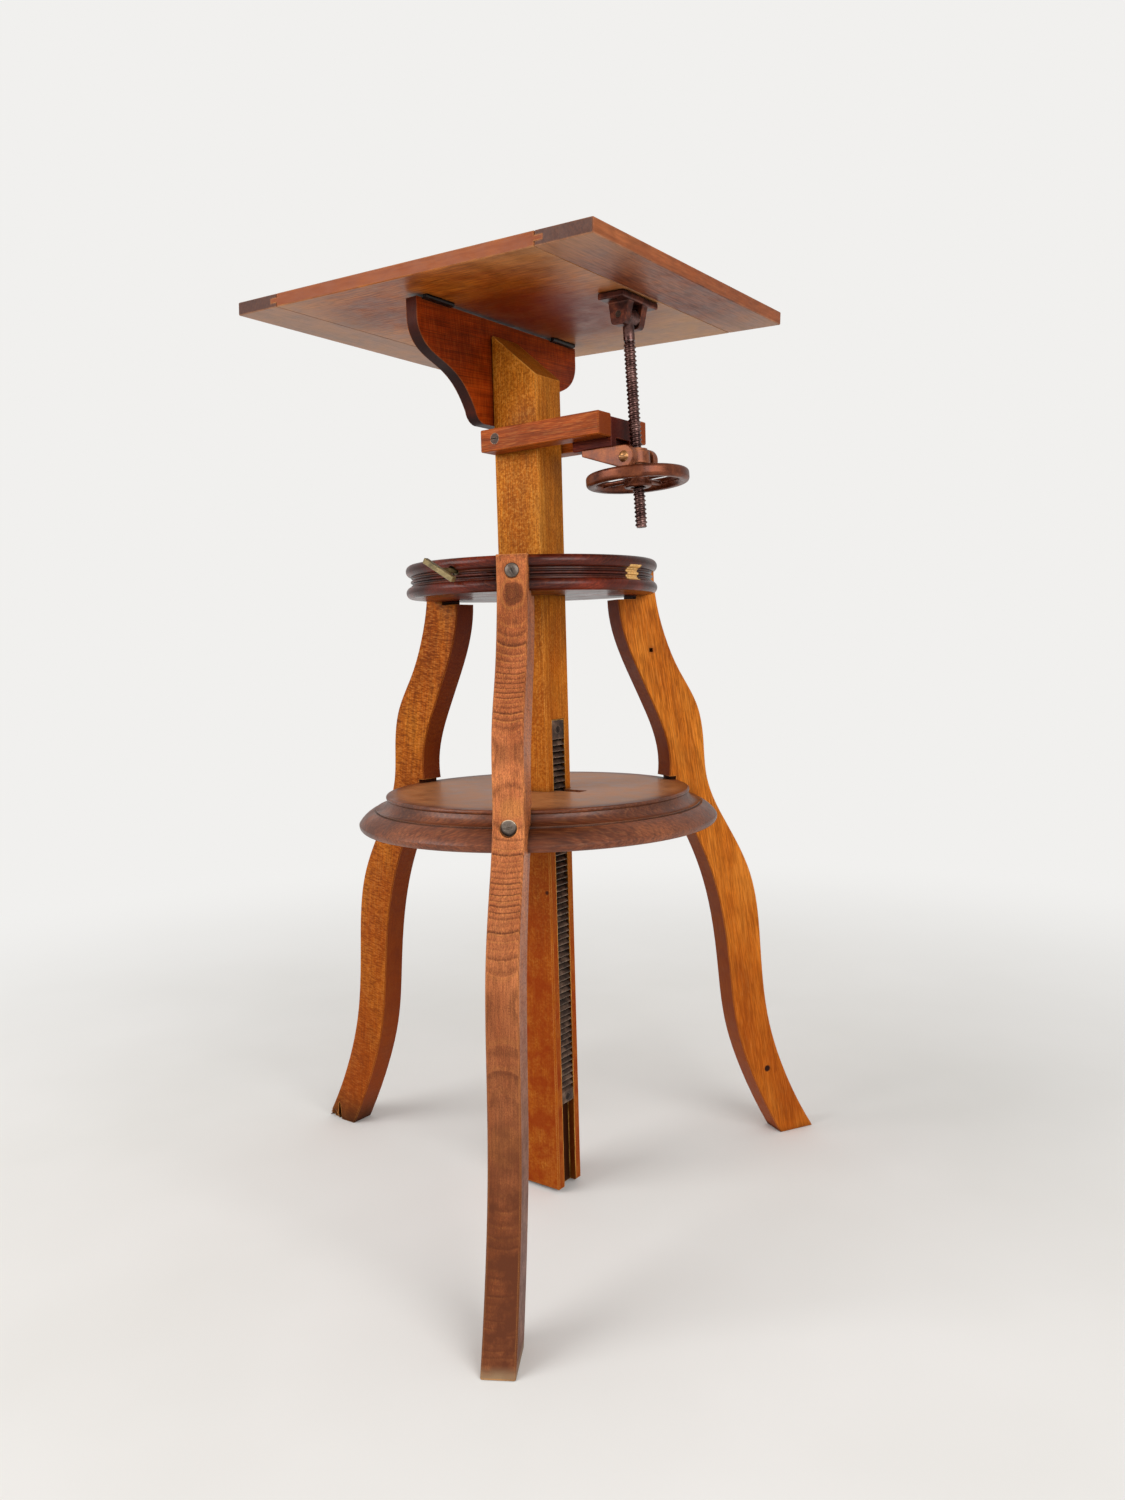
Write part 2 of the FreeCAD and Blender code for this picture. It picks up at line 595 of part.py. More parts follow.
def pawlOutline():
    # the nose fits the tooth gap above it, and its top is an arc about the pawl's pin
    x, z = s.pawlX, s.shelfBottom - s.pawlDrop
    tip = rackTip()
    toothUnder = rackBottom() + s.rackTail + s.pawlTooth * s.rackPitch
    reach = math.hypot(tip - x, toothUnder - z) - s.pawlPlay
    noseX = tip - s.pawlNoseIn

    def top(across):
        return z + math.sqrt(reach ** 2 - (across - x) ** 2)

    slope = (s.rackPitch - s.rackTipLand - s.rackRootLand) / s.rackToothDepth
    off = s.pawlPlay * math.hypot(1, slope)

    def under(across):
        return toothUnder - s.rackPitch + s.rackTipLand + (tip - across) * slope + off

    boss, back = s.pawlBoss, x + s.pawlBack
    throat = x - boss
    return trace(
        (noseX, under(noseX)), ("line", (noseX, top(noseX))),
        ("arc", (x - s.pawlBack, top(x - s.pawlBack)), (back, top(back))),
        ("line", (x + boss, z)), ("line", (x + boss / 2, z - s.pawlTail)),
        ("line", (x - boss / 2, z - s.pawlTail)), ("line", (throat, z)),
        ("line", (throat, under(throat))),
    )


def makePawl():
    x, z = "pawlX", "shelfBottom - pawlDrop"
    half = "pawlWidth / 2"
    board = padded("pawlBody", "XZ", pawlOutline(), "pawlWidth")
    hole = rod("pawlHole", "Y", (f"-{half} - 1", f"{half} + 1"), (x, z), "pawlPin / 2 + runningPlay")
    node("pawl", cut("pawlCut", board, hole))
    inner, start = f"({half} + pawlPlay)", "columnWidth / 2 + pawlEar"
    plate = box(
        "pawlPlateStock", (start, "pawlPlateEnd"), middle("pawlPlateWidth"),
        ("shelfBottom - pawlPlate", "shelfBottom"),
    )
    ears = [
        box(f"pawlEar{i}", ("pawlX - pawlBoss", "pawlX + pawlBoss"), (low, high),
            (f"{z} - pawlBoss", "shelfBottom - pawlPlate"))
        for i, (low, high) in enumerate(
            ((f"-{inner} - pawlEar", f"-{inner}"), (inner, f"{inner} + pawlEar")),
        )
    ]
    way = box("pawlWay", ("0", "pawlPlateGap"), (f"-{inner}", inner), (f"{z} - pawlBoss", "shelfTop"))
    eye = rod(
        "pawlPinHole", "Y", (f"-{half} - 2 * pawlEar", f"{half} + 2 * pawlEar"), (x, z),
        "pawlPin / 2 + screwPlay",
    )
    tools = [way, eye]
    seats = [V(a, b, s.shelfBottom - s.pawlPlate) for a, b in pawlScrewPlaces()]
    for i, seat in enumerate(seats):
        tools.append(sink(f"pawlSink{i}", "hingeHead", "hingeShank", seat, V(0, 0, 1)))
        tools.append(
            rod(
                f"pawlScrewWay{i}", "Z", ("shelfBottom - 2 * pawlPlate", "shelfTop"), (seat.x, seat.y),
                "hingeShank / 2 + screwPlay",
            ),
        )
    node("pawl_bracket", cut("pawlBracketCut", joined("pawlBracket", plate, *ears), *tools))
    node(
        "pawl_pin", held(
            rod("pawlPin", "Y", (f"-{inner} - pawlEar", f"{inner} + pawlEar"), (x, z), "pawlPin / 2"),
        ),
    )
    shape = screwShape(
        s.hingeHead, (s.hingeHead - s.hingeShank) / 2, s.hingeShank, s.pawlScrewLong, sunk=True,
    )
    group("pawl_bracket_screws", [drive(shape, seat, V(0, 0, 1)) for seat in seats])


# ---- column clamp ----

def makeClamp():
    # a square bar riveted on the end of the screw that bears on the column
    bush = rod(
        "clampBushStock", "Y", ("bushSunk - ringRadius", "bushLong + bushSunk - ringRadius"), clampSpot,
        "bushDiameter / 2",
    )
    bore = rod("clampBushBore", "Y", ("-ringRadius", "0"), clampSpot, "clampShank / 2 + runningPlay")
    node("clamp_bush", cut("clampBush", bush, bore))
    inner, outer = (f"{half} - clampStand - ringRadius" for half in ("clampBar / 2", "-clampBar / 2"))
    shank = rod(
        "clampShankRod", "Y", (inner, "-columnDepth / 2 - clampTip"), clampSpot, "clampShank / 2",
    )
    rivet = rod(
        "clampRivetRod", "Y", (outer, "clampBar - clampStand - ringRadius"), clampSpot,
        "clampRivet / 2",
    )
    node("clamp_screw", joined("clampScrew", shank, rivet))
    bar = plank(
        "clampBarStock", middle("clampBarLong"), middle("clampBar"), middle("clampBar"), "clampArris",
    )
    hole = rod("clampBarHole", "Y", ("-clampBar", "clampBar"), ("0", "0"), "clampRivet / 2 + screwPlay")
    centre = FreeCAD.Placement(
        V(s.clampX, -s.ringRadius - s.clampStand, s.ringBottom + s.clampRise),
        FreeCAD.Rotation(V(0, 1, 0), s.clampBarTurn))
    node("clamp_bar", cut("clampBarCut", bar, hole), stand * centre)


# ---- bracket board and hinges ----

def makeBoard():
    # half of the ogee as shares of its width and its drop, from the end down to the foot
    shares = ((0.031, 0.158), (0.104, 0.276), (0.215, 0.368), (0.393, 0.454), (0.589, 0.542),
              (0.755, 0.658), (0.883, 0.803), (1, 1))
    half, end, low = s.boardHalf, s.boardEnd, s.boardBottom
    scroll = (s.scrollInner, low + s.scrollRise)
    ogee = [(half - a * (half - scroll[0]), end - b * (end - scroll[1])) for a, b in shares]
    turnOut = (s.scrollInner - (s.scrollInner - s.boardFoot) * 0.34, low + s.scrollRise * 0.24)
    body = padded("boardHalfStock", "YZ", trace(
        (0, s.boardTop), ("line", (half, s.boardTop)), ("line", (half, end)), ("curve", *ogee),
        ("arc", turnOut, (s.boardFoot, low)), ("line", (0, low)),
    ), "boardThick", "-(columnWidth + boardThick) / 2")
    doc.recompute()
    mirror = body.newObject("PartDesign::Mirrored", "boardMirrored")
    mirror.Originals = [o for o in body.Group if o.TypeId == "PartDesign::Pad"]
    mirror.MirrorPlane = (next(o for o in body.Origin.OriginFeatures if o.Role == "XZ_Plane"), [""])
    body.Tip = mirror
    tools = []
    face = -s.columnWidth / 2 - s.boardThick
    seats = [
        V(face, side * s.boardScrewY, height) for side in sides for height in (s.boardScrewLow, s.boardScrewHigh)
    ]
    for i, seat in enumerate(seats):
        tools.append(sink(f"boardSink{i}", "woodHead", "woodShank", seat, V(1, 0, 0)))
        tools.append(
            rod(f"boardHole{i}", "X", (face, "0"), (seat.y, seat.z), "woodShank / 2 + screwPlay"),
        )
    for i, side in enumerate(sides):
        ends = sorted((side * s.hingeIn, side * (s.hingeIn + s.hingeLong)))
        tools.append(
            box(
                f"boardMortise{i}", ("hingeX - hingeReach", "0"), ends,
                ("boardTop + hingeRise - hingeBarrel", "boardTop + 1"),
            ),
        )
        for j, y in enumerate(hingeScrewYs(side)):
            tools.append(rod(f"boardHingePilot{i}{j}", "Z", (
                "boardTop + hingeRise - hingeBarrel + hingeLeaf - hingeScrewLong",
                "boardTop + hingeRise",
            ),
                             ("hingeX - hingeScrewIn", y), "hingeShank / 2 + screwPlay"))
    node("bracket_board", cut("boardCut", body, *tools))
    shape = screwShape(
        s.woodHead, (s.woodHead - s.woodShank) / 2, s.woodShank, s.boardScrewLong, sunk=True,
    )
    group("bracket_screws", [drive(shape, seat, V(1, 0, 0)) for seat in seats])


def hingeScrewYs(side):
    near, far = s.hingeIn + s.hingeScrewEdge, s.hingeIn + s.hingeLong - s.hingeScrewEdge
    return [side * y for y in (near, (near + far) / 2, far)]


def makeHinges():
    # two butt hinges, drawn about their pins, with both leaves on the same side
    count = int(s.knuckles)
    pitch = s.hingeLong / count
    for label, sign, first, frame in (
        ("hinge_leaves_fixed", -1, 0, stand * FreeCAD.Placement(
            V(s.hingeX, 0, s.boardTop + s.hingeRise), FreeCAD.Rotation(),
        )),
        ("hinge_leaves_table", 1, 1, table),
    ):
        leaves = []
        for side in sides:
            start = min(side * s.hingeIn, side * (s.hingeIn + s.hingeLong))
            flat = sorted((sign * s.hingeBarrel, sign * (s.hingeBarrel - s.hingeLeaf)))
            leaf = Part.makeBox(
                s.hingeReach, s.hingeLong, s.hingeLeaf, V(-s.hingeReach, start, flat[0]),
            )
            for k in range(count):
                low, mine = start + k * pitch, k % 2 == first
                play = s.knuckleGap / 2 if mine else -s.knuckleGap / 2
                barrel = Part.makeCylinder(
                    s.hingeBarrel + (0 if mine else s.barrelPlay), pitch - 2 * play,
                    V(0, low + play, 0), V(0, 1, 0))
                leaf = leaf.fuse(barrel) if mine else leaf.cut(barrel)
            leaf = leaf.cut(
                Part.makeCylinder(
                    s.hingePin / 2 + s.screwPlay, s.hingeLong, V(0, start, 0), V(0, 1, 0),
                ),
            )
            for y in hingeScrewYs(side):
                seat = V(-s.hingeScrewIn, y, sign * (s.hingeBarrel - s.hingeLeaf))
                leaf = leaf.cut(hingeSink(seat, sign))
            leaves.append(leaf.removeSplitter())
        piece = doc.addObject("Part::Feature", label)
        piece.Shape = Part.makeCompound(leaves)
        node(label, piece, frame)
    pins = [
        Part.makeCylinder(
            s.hingePin / 2, s.hingeLong,
            V(0, min(side * s.hingeIn, side * (s.hingeIn + s.hingeLong)), 0), V(0, 1, 0),
        )
        for side in sides
    ]
    group(
        "hinge_pins", pins, stand * FreeCAD.Placement(
            V(s.hingeX, 0, s.boardTop + s.hingeRise), FreeCAD.Rotation(),
        ),
    )
    shape = screwShape(
        s.hingeHead, (s.hingeHead - s.hingeShank) / 2, s.hingeShank, s.hingeScrewLong, sunk=True,
    )
    for label, sign, frame in (
        ("hinge_screws_fixed", -1, stand * FreeCAD.Placement(
            V(s.hingeX, 0, s.boardTop + s.hingeRise), FreeCAD.Rotation(),
        )),
        ("hinge_screws_table", 1, table),
    ):
        group(label, [
            drive(shape, V(-s.hingeScrewIn, y, sign * (s.hingeBarrel - s.hingeLeaf)), V(0, 0, sign))
            for side in sides for y in hingeScrewYs(side)
        ], frame)


def hingeSink(seat, sign):
    tall = (s.hingeHead - s.hingeShank) / 2
    cone = Part.makeCone(
        s.hingeHead / 2 + s.screwPlay, s.hingeShank / 2 + s.screwPlay, tall, seat, V(0, 0, sign),
    )
    return cone.fuse(
        Part.makeCylinder(s.hingeShank / 2 + s.screwPlay, s.hingeScrewLong, seat, V(0, 0, sign)),
    )


# ---- table ----

def makeTable():
    under, over = "tableUnder", "tableUnder + tableThick"
    # the panel ends past the casting's flange, and a cleat is tongued on at each end
    left, seamLeft = "-tableBack", "cleatWide - tableBack"
    seamRight = "pinReach + flangeLong / 2 + seamPast"
    right = f"{seamRight} + cleatWide"
    wide = middle("tableWide")
    tongue = (
        "tableUnder + (tableThick - tongueThick) / 2", "tableUnder + (tableThick + tongueThick) / 2",
    )
    board = plank("panelBoard", (seamLeft, seamRight), wide, (under, over), "tableArris")
    tongues = box(
        "panelTongues", (f"{seamLeft} - tongueLong", f"{seamRight} + tongueLong"), wide, tongue,
    )
    tools = []
    for i, side in enumerate(sides):
        ends = sorted((side * s.hingeIn, side * (s.hingeIn + s.hingeLong)))
        tools.append(box(f"panelMortise{i}", ("-hingeReach", "0"), ends, ("0", "hingeBarrel")))
        tools.append(
            box(
                f"panelRelief{i}", ("-hingeBarrel - barrelPlay", "hingeBarrel + barrelPlay"), ends,
                ("0", "hingeBarrel + barrelPlay"),
            ),
        )
        for j, y in enumerate(hingeScrewYs(side)):
            tools.append(rod(f"panelHingePilot{i}{j}", "Z", (
                "0", "hingeBarrel - hingeLeaf + hingeScrewLong",
            ),
                             ("-hingeScrewIn", y), "hingeShank / 2 + screwPlay"))
        tools.append(rod(f"panelFlangePilot{i}", "Z", (
            "0", "tableUnder - flangeThick + flangeScrewLong",
        ),
                         ("pinReach", f"{side} * flangeScrewY"), "ironShank / 2 + screwPlay"))
    node("table_panel", cut("panelCut", joined("panelWhole", board, tongues), *tools), table)
    for label, start, end, slot in (
        ("left_cleat", left, seamLeft, (f"{seamLeft} - tongueLong", seamLeft)),
        ("right_cleat", seamRight, right, (seamRight, f"{seamRight} + tongueLong")),
    ):
        cleat = plank(label + "Board", (start, end), wide, (under, over), "tableArris")
        groove = box(label + "Groove", slot, ("-tableWide", "tableWide"), tongue)
        node(label, cut(label + "Cut", cleat, groove), table)


def makeTableCasting():
    under = "tableUnder"
    flange = plank("flangeStock", (
        "pinReach - flangeLong / 2", "pinReach + flangeLong / 2",
    ), middle("flangeWide"),
                   ("tableUnder - flangeThick", under), "castArris")
    x, tip, root = s.pinReach, -s.pinDrop - s.lugTip, s.tableUnder - s.flangeThick / 2
    half, soft = s.lugHalf, s.lugCorner
    bevel = soft * (1 - math.sqrt(0.5))
    lugs = [
        padded(f"lug{i}", "XZ", trace(
            (x - s.lugRoot, root), ("line", (x - half, tip + soft)),
            ("arc", (x - half + bevel, tip + bevel), (x - half + soft, tip)),
            ("line", (x + half - soft, tip)),
            ("arc", (x + half - bevel, tip + bevel), (x + half, tip + soft)),
            ("line", (x + s.lugRoot, root)),
        ), "lugThick", f"{side} * (lugGap + lugThick) / 2")
        for i, side in enumerate(sides)
    ]
    tools = [
        rod(
            "lugHole", "Y", ("-flangeWide / 2", "flangeWide / 2"), ("pinReach", "-pinDrop"),
            "pinDiameter / 2 + screwPlay",
        ),
    ]
    seats = [V(x, side * s.flangeScrewY, s.tableUnder - s.flangeThick) for side in sides]
    for i, seat in enumerate(seats):
        tools.append(sink(f"flangeSink{i}", "ironHead", "ironShank", seat, V(0, 0, 1)))
        tools.append(
            rod(
                f"flangeHole{i}", "Z", ("-flangeThick", "flangeThick"), (seat.x, seat.y),
                "ironShank / 2 + screwPlay",
            ),
        )
    node("table_casting", cut("tableCastingCut", joined("tableCasting", flange, *lugs), *tools), table)
    shape = screwShape(
        s.ironHead, (s.ironHead - s.ironShank) / 2, s.ironShank, s.flangeScrewLong, sunk=True,
    )
    group("casting_screws", [drive(shape, seat, V(0, 0, 1)) for seat in seats], table)
    ends = middle("lugGap + 2 * lugThick")
    node(
        "casting_pin", held(rod("castingPin", "Y", ends, ("pinReach", "-pinDrop"), "pinDiameter / 2")),
        table,
    )


# ---- yoke, clevis, swivel, handwheel and tilt screw ----

def makeYoke():
    for label, side in (("front_yoke_bar", -1), ("rear_yoke_bar", 1)):
        inner, outer = side * s.columnDepth / 2, side * (s.columnDepth / 2 + s.yokeThick)
        ends = sorted((inner, outer))
        bar = plank(
            label + "Bar", ("-columnWidth / 2", "yokeEnd"), ends, ("yokeBottom", "yokeTop"),
            "woodArris",
        )
        seat = V(s.yokeScrewX, outer, s.yokeScrewZ)
        hole = rod(label + "Hole", "Y", ends, ("yokeScrewX", "yokeScrewZ"), "yokeShank / 2 + screwPlay")
        node(
            label, cut(
                label + "Cut", bar, hole,
                sink(label + "Sink", "yokeHead", "yokeShank", seat, V(0, -side, 0)),
            ),
        )
    shape = screwShape(
        s.yokeHead, (s.yokeHead - s.yokeShank) / 2, s.yokeShank, s.yokeScrewLong, sunk=True,
    )
    group("yoke_screws", [
        drive(
            shape, V(s.yokeScrewX, side * (s.columnDepth / 2 + s.yokeThick), s.yokeScrewZ),
            V(0, -side, 0),
        )
        for side in sides
    ])
    block = plank(
        "padStock", ("padStart", "padEnd"), middle("columnDepth"), ("padBottom", "padTop"), "woodArris",
    )
    pilots = [
        rod(
            f"padPilot{i}", "Z", ("padBottom - 1", "padBottom - clevisPlate + clevisScrewLong"),
            (x, "0"), "ironShank / 2 + screwPlay",
        )
        for i, x in enumerate(clevisScrewXs())
    ]
    notch = box(
        "padNotch", ("padEnd - padNotchDeep", "padEnd + 1"), middle("padNotchWide"),
        ("padBottom - 1", "yokeBottom"),
    )
    node("yoke_block", cut("padCut", block, notch, *pilots))


def clevisScrewXs():
    return s.clevisStart + s.clevisScrewIn, s.clevisPlateEnd - s.clevisScrewIn


def makeClevis():
    x, z, r = s.pivotX, s.padBottom - s.pivotDrop, s.eyeRadius
    heel, low = s.clevisStart, s.padBottom - s.clevisPlate
    # the cheek's lower edge runs from the plate's heel, tangent to the eye
    far = math.hypot(x - heel, z - low)
    slant = math.atan2(z - low, x - heel) - math.asin(r / far)
    touch = (x + r * math.sin(slant), z - r * math.cos(slant))
    outline = trace(
        (heel, low), ("line", (heel, s.padBottom)), ("line", (s.padEnd, s.padBottom)),
        ("line", (x, z + r)),
        ("arc", (x + r, z), touch),
    )
    cheeks = [
        padded(f"cheek{i}", "XZ", outline, "cheekThick", f"{side} * (cheekGap + cheekThick) / 2")
        for i, side in enumerate(sides)
    ]
    plate = box("clevisPlateStock", ("clevisStart", "clevisPlateEnd"), middle("cheekGap + cheekThick"),
                ("padBottom - clevisPlate", "padBottom"))
    tools = [
        rod(
            "eyeHoles", "Y", ("-cheekGap", "cheekGap"), ("pivotX", "padBottom - pivotDrop"),
            "pivotShank / 2 + screwPlay",
        ),
    ]
    seats = [V(a, 0, low) for a in clevisScrewXs()]
    for i, seat in enumerate(seats):
        tools.append(sink(f"clevisSink{i}", "ironHead", "ironShank", seat, V(0, 0, 1)))
        tools.append(
            rod(
                f"clevisHole{i}", "Z", ("padBottom - 2 * clevisPlate", "padTop"), (seat.x, "0"),
                "ironShank / 2 + screwPlay",
            ),
        )
    node("clevis_casting", cut("clevisCut", joined("clevis", plate, *cheeks), *tools))
    shape = screwShape(
        s.ironHead, (s.ironHead - s.ironShank) / 2, s.ironShank, s.clevisScrewLong, sunk=True,
    )
    group("clevis_screws", [drive(shape, seat, V(0, 0, 1)) for seat in seats])
    face = s.cheekGap / 2 + s.cheekThick
    shape = screwShape(s.pivotHead, s.pivotHeadTall, s.pivotShank, face - s.pivotTip, sunk=False)
    group("pivot_screws", [drive(shape, V(x, side * face, z), V(0, -side, 0)) for side in sides])


def makeSwivel():
    half = "swivelTall / 2"
    barrel = rod("swivelBarrel", "Z", (f"-{half}", half), ("0", "0"), "swivelRadius")
    boss = rod("swivelBosses", "Y", middle("cheekGap - 2 * sidePlay"), ("0", "0"), "swivelBoss / 2")
    bore = rod(
        "swivelBore", "Z", (f"-{half} - 1", f"{half} + 1"), ("0", "0"),
        "neckDiameter / 2 + runningPlay",
    )
    ways = rod("swivelWays", "Y", ("-cheekGap", "cheekGap"), ("0", "0"), "pivotShank / 2 + runningPlay")
    node("swivel_block", cut("swivelCut", joined("swivelStock", barrel, boss), bore, ways), swivel)


def makeTiltNut():
    # the nut's neck turns in the swivel block, held by its shoulder below and a collar above
    top = -s.swivelTall / 2 - s.endPlay
    crown = s.swivelTall / 2 + s.endPlay + s.collarTall
    bore, neck, shoulder = s.threadBore / 2, s.neckDiameter / 2, s.shoulderDiameter / 2
    body = turned("nutStock", trace(
        (bore, top - s.shoulderTall), ("line", (shoulder, top - s.shoulderTall)),
        ("line", (shoulder, top)),
        ("line", (neck, top)), ("line", (neck, crown)), ("line", (bore, crown)),
    ))
    node("tilt_nut", body, swivel)
    rest = "swivelTall / 2 + endPlay"
    ring = rod("collarStock", "Z", (rest, f"{rest} + collarTall"), ("0", "0"), "collarDiameter / 2")
    hole = rod("collarHole", "Z", ("0", "swivelTall"), ("0", "0"), "neckDiameter / 2 + screwPlay")
    node("hub_collar", cut("collarCut", ring, hole), swivel)


def makeHandwheel():
    # a hub pinned under the nut's shoulder, a rounded rim, and oval spokes
    top = -s.swivelTall / 2 - s.endPlay - s.shoulderTall
    low, mid, soft = top - s.hubTall, -s.rimDrop, s.hubRound
    bore, hub = s.threadBore / 2, s.hubDiameter / 2
    bevel = soft * (1 - math.sqrt(0.5))
    body = turned("wheel", trace(
        (bore, low), ("line", (hub - soft, low)),
        ("arc", (hub - bevel, low + bevel), (hub, low + soft)),
        ("line", (hub, top)), ("line", (bore, top)),
    ))
    inner, outer, flat = s.rimRadius - s.rimDeep / 2, s.rimRadius + s.rimDeep / 2, (s.rimTall - s.rimDeep) / 2
    turned("wheelRim", trace(
        (outer, mid - flat), ("line", (outer, mid + flat)),
        ("arc", (s.rimRadius, mid + s.rimTall / 2), (inner, mid + flat)),
        ("line", (inner, mid - flat)), ("arc", (s.rimRadius, mid - s.rimTall / 2), (outer, mid - flat)),
    ), body)
    doc.recompute()
    sketch = sketchIn(body, "spokeOutline", "YZ", [
        Part.Ellipse(V(s.spokeWide / 2, mid, 0), V(0, mid + s.spokeTall / 2, 0), V(0, mid, 0))
    ], "hubDiameter / 2 - 1")
    pad = body.newObject("PartDesign::Pad", "wheelSpoke")
    pad.Profile = sketch
    bind(pad, Length="rimRadius - hubDiameter / 2 + 1")
    doc.recompute()
    pattern = body.newObject("PartDesign::PolarPattern", "wheelSpokes")
    pattern.Originals = [pad]
    pattern.Axis = (next(o for o in body.Origin.OriginFeatures if o.Role == "Z_Axis"), [""])
    pattern.Angle = 360
    bind(pattern, Occurrences="spokes")
    body.Tip = pattern
    node("handwheel", body, swivel)


def makeTiltScrew():
    r, neck, end = s.threadDiameter / 2, s.screwNeck / 2, -s.screwLong
    shaft = turned("screwShaft", trace(
        (0, end), ("line", (r - s.screwPoint, end)), ("line", (r, end + s.screwPoint)),
        ("line", (r, -s.screwNeckEnd - s.screwPoint)), ("line", (neck, -s.screwNeckEnd)),
        ("line", (neck, -s.pinDiameter)), ("line", (0, -s.pinDiameter)),
    ))
    eye = rod("screwEye", "Y", middle("lugGap - 2 * eyePlay"), ("0", "0"), "eyeDiameter / 2")
    hole = rod("screwEyeHole", "Y", ("-lugGap", "lugGap"), ("0", "0"), "pinDiameter / 2 + runningPlay")
    node("tilt_screw", cut("tiltScrew", joined("tiltScrewStock", shaft, eye), hole), hanging)


makeRing()
makeShelf()
for legName, legTurn in legTurns.items():
    makeLeg(legName, legTurn)
makeLegScrews("ring_screws", "ring")
makeLegScrews("shelf_screws", "shelf")
makeColumn()
makeRack()
makePawl()
makeClamp()
makeBoard()
makeHinges()
makeTable()
makeTableCasting()
makeYoke()
makeClevis()
makeSwivel()
makeTiltNut()
makeHandwheel()
makeTiltScrew()
doc.recompute()

failed = [o.Name for o in doc.Objects if {"Invalid", "Error"} & set(o.State)]
failed += [o.Label for o in nodes if o.Shape.isNull() or not o.Shape.isValid() or not o.Shape.Solids]
if failed:
    raise RuntimeError(f"these objects failed: {failed}")
os.makedirs("parts", exist_ok=True)
for piece in nodes:
    piece.Shape.exportStep(f"parts/{piece.Label}.step")
    print(piece.Label, len(piece.Shape.Solids), round(piece.Shape.Volume / 1000, 1), "cm3")
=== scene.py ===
import json
import math

import bmesh
import bpy
from mathutils import Matrix, Vector


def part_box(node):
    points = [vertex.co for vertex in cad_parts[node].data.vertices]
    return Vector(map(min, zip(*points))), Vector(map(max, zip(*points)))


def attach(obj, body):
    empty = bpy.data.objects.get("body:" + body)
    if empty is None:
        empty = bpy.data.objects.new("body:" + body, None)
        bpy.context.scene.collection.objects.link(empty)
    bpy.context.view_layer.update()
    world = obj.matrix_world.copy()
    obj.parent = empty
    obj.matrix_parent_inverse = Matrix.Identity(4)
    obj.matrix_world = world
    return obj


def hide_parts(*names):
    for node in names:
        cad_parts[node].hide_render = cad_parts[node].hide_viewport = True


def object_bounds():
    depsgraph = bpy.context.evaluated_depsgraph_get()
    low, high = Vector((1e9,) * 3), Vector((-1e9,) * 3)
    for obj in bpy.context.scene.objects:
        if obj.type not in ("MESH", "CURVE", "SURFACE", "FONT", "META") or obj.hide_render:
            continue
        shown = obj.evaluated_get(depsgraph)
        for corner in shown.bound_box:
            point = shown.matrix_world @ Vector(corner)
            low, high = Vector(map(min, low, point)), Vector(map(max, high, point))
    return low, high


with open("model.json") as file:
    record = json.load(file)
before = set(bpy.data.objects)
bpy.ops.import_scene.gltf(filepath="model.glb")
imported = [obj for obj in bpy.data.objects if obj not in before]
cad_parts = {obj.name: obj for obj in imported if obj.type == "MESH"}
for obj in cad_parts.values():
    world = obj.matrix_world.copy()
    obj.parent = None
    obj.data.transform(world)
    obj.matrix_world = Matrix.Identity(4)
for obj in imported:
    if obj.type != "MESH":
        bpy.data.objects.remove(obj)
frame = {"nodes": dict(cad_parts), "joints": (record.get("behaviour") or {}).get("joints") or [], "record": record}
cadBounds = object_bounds()  # the solids' own box, whose middle the lamps aim at
nodes = frame["nodes"]
joints = {joint["name"]: joint for joint in frame["joints"]}
bodies = frame["record"]["behaviour"]["bodies"]
bodyOf = {name: body for body, names in bodies.items() for name in names}

mm = 0.001
weld = 0.001 * mm  # points nearer than this are one point
columnLow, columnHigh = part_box("column")
axisX = (columnLow.x + columnHigh.x) / 2  # the column's axis, round which the stand is drawn
shelfTop = 0.437  # height of the shelf's flat top
tableUnder = 0.93  # height of the table's underside near its hinges


def hexColour(text):
    # sRGB hex to the linear colour that the shader wants
    def straight(v):
        return v / 12.92 if v <= 0.04045 else ((v + 0.055) / 1.055) ** 2.4
    return (*[straight(int(text[i:i + 2], 16) / 255) for i in (1, 3, 5)], 1.0)


def addNode(tree, kind, inputs=(), out=0, stops=(), **settings):
    # adds one node, sets it up, fills its inputs with values or links and gives back one output
    node = tree.nodes.new("ShaderNode" + kind)
    for name, value in settings.items():
        setattr(node, name, value)
    for place, value in (inputs if isinstance(inputs, dict) else dict(enumerate(inputs))).items():
        if isinstance(value, bpy.types.NodeSocket):
            tree.links.new(value, node.inputs[place])
        else:
            node.inputs[place].default_value = hexColour(value) if isinstance(value, str) else value
    for i, (place, colour) in enumerate(stops):
        band = node.color_ramp.elements
        stop = band[i] if i < 2 else band.new(place)
        stop.position = place
        stop.color = hexColour(colour) if isinstance(colour, str) else (colour, colour, colour, 1)
    return node.outputs[out] if out is not None else node


tinted = {"out": 2, "data_type": "RGBA"}  # a colour mix: its share is input 0, its colours are 6 and 7
shaded = {**tinted, "blend_type": "MULTIPLY"}
eased = {"interpolation_type": "SMOOTHSTEP"}


def newMaterial(name):
    material = bpy.data.materials.new(name)
    material.use_nodes = True
    material.node_tree.nodes.clear()
    return material, material.node_tree


def repeats(size):
    # how often a pattern of this size in mm fits into a metre, along each axis
    return tuple(1 / (v * mm) for v in size)


wearLook = {  # rubbing starts at flat and is full at sharp, and a corner is free of dust and painted shade from open on
    "flat": 0.99, "sharp": 0.8, "open": 0.9, "samples": 6,
}


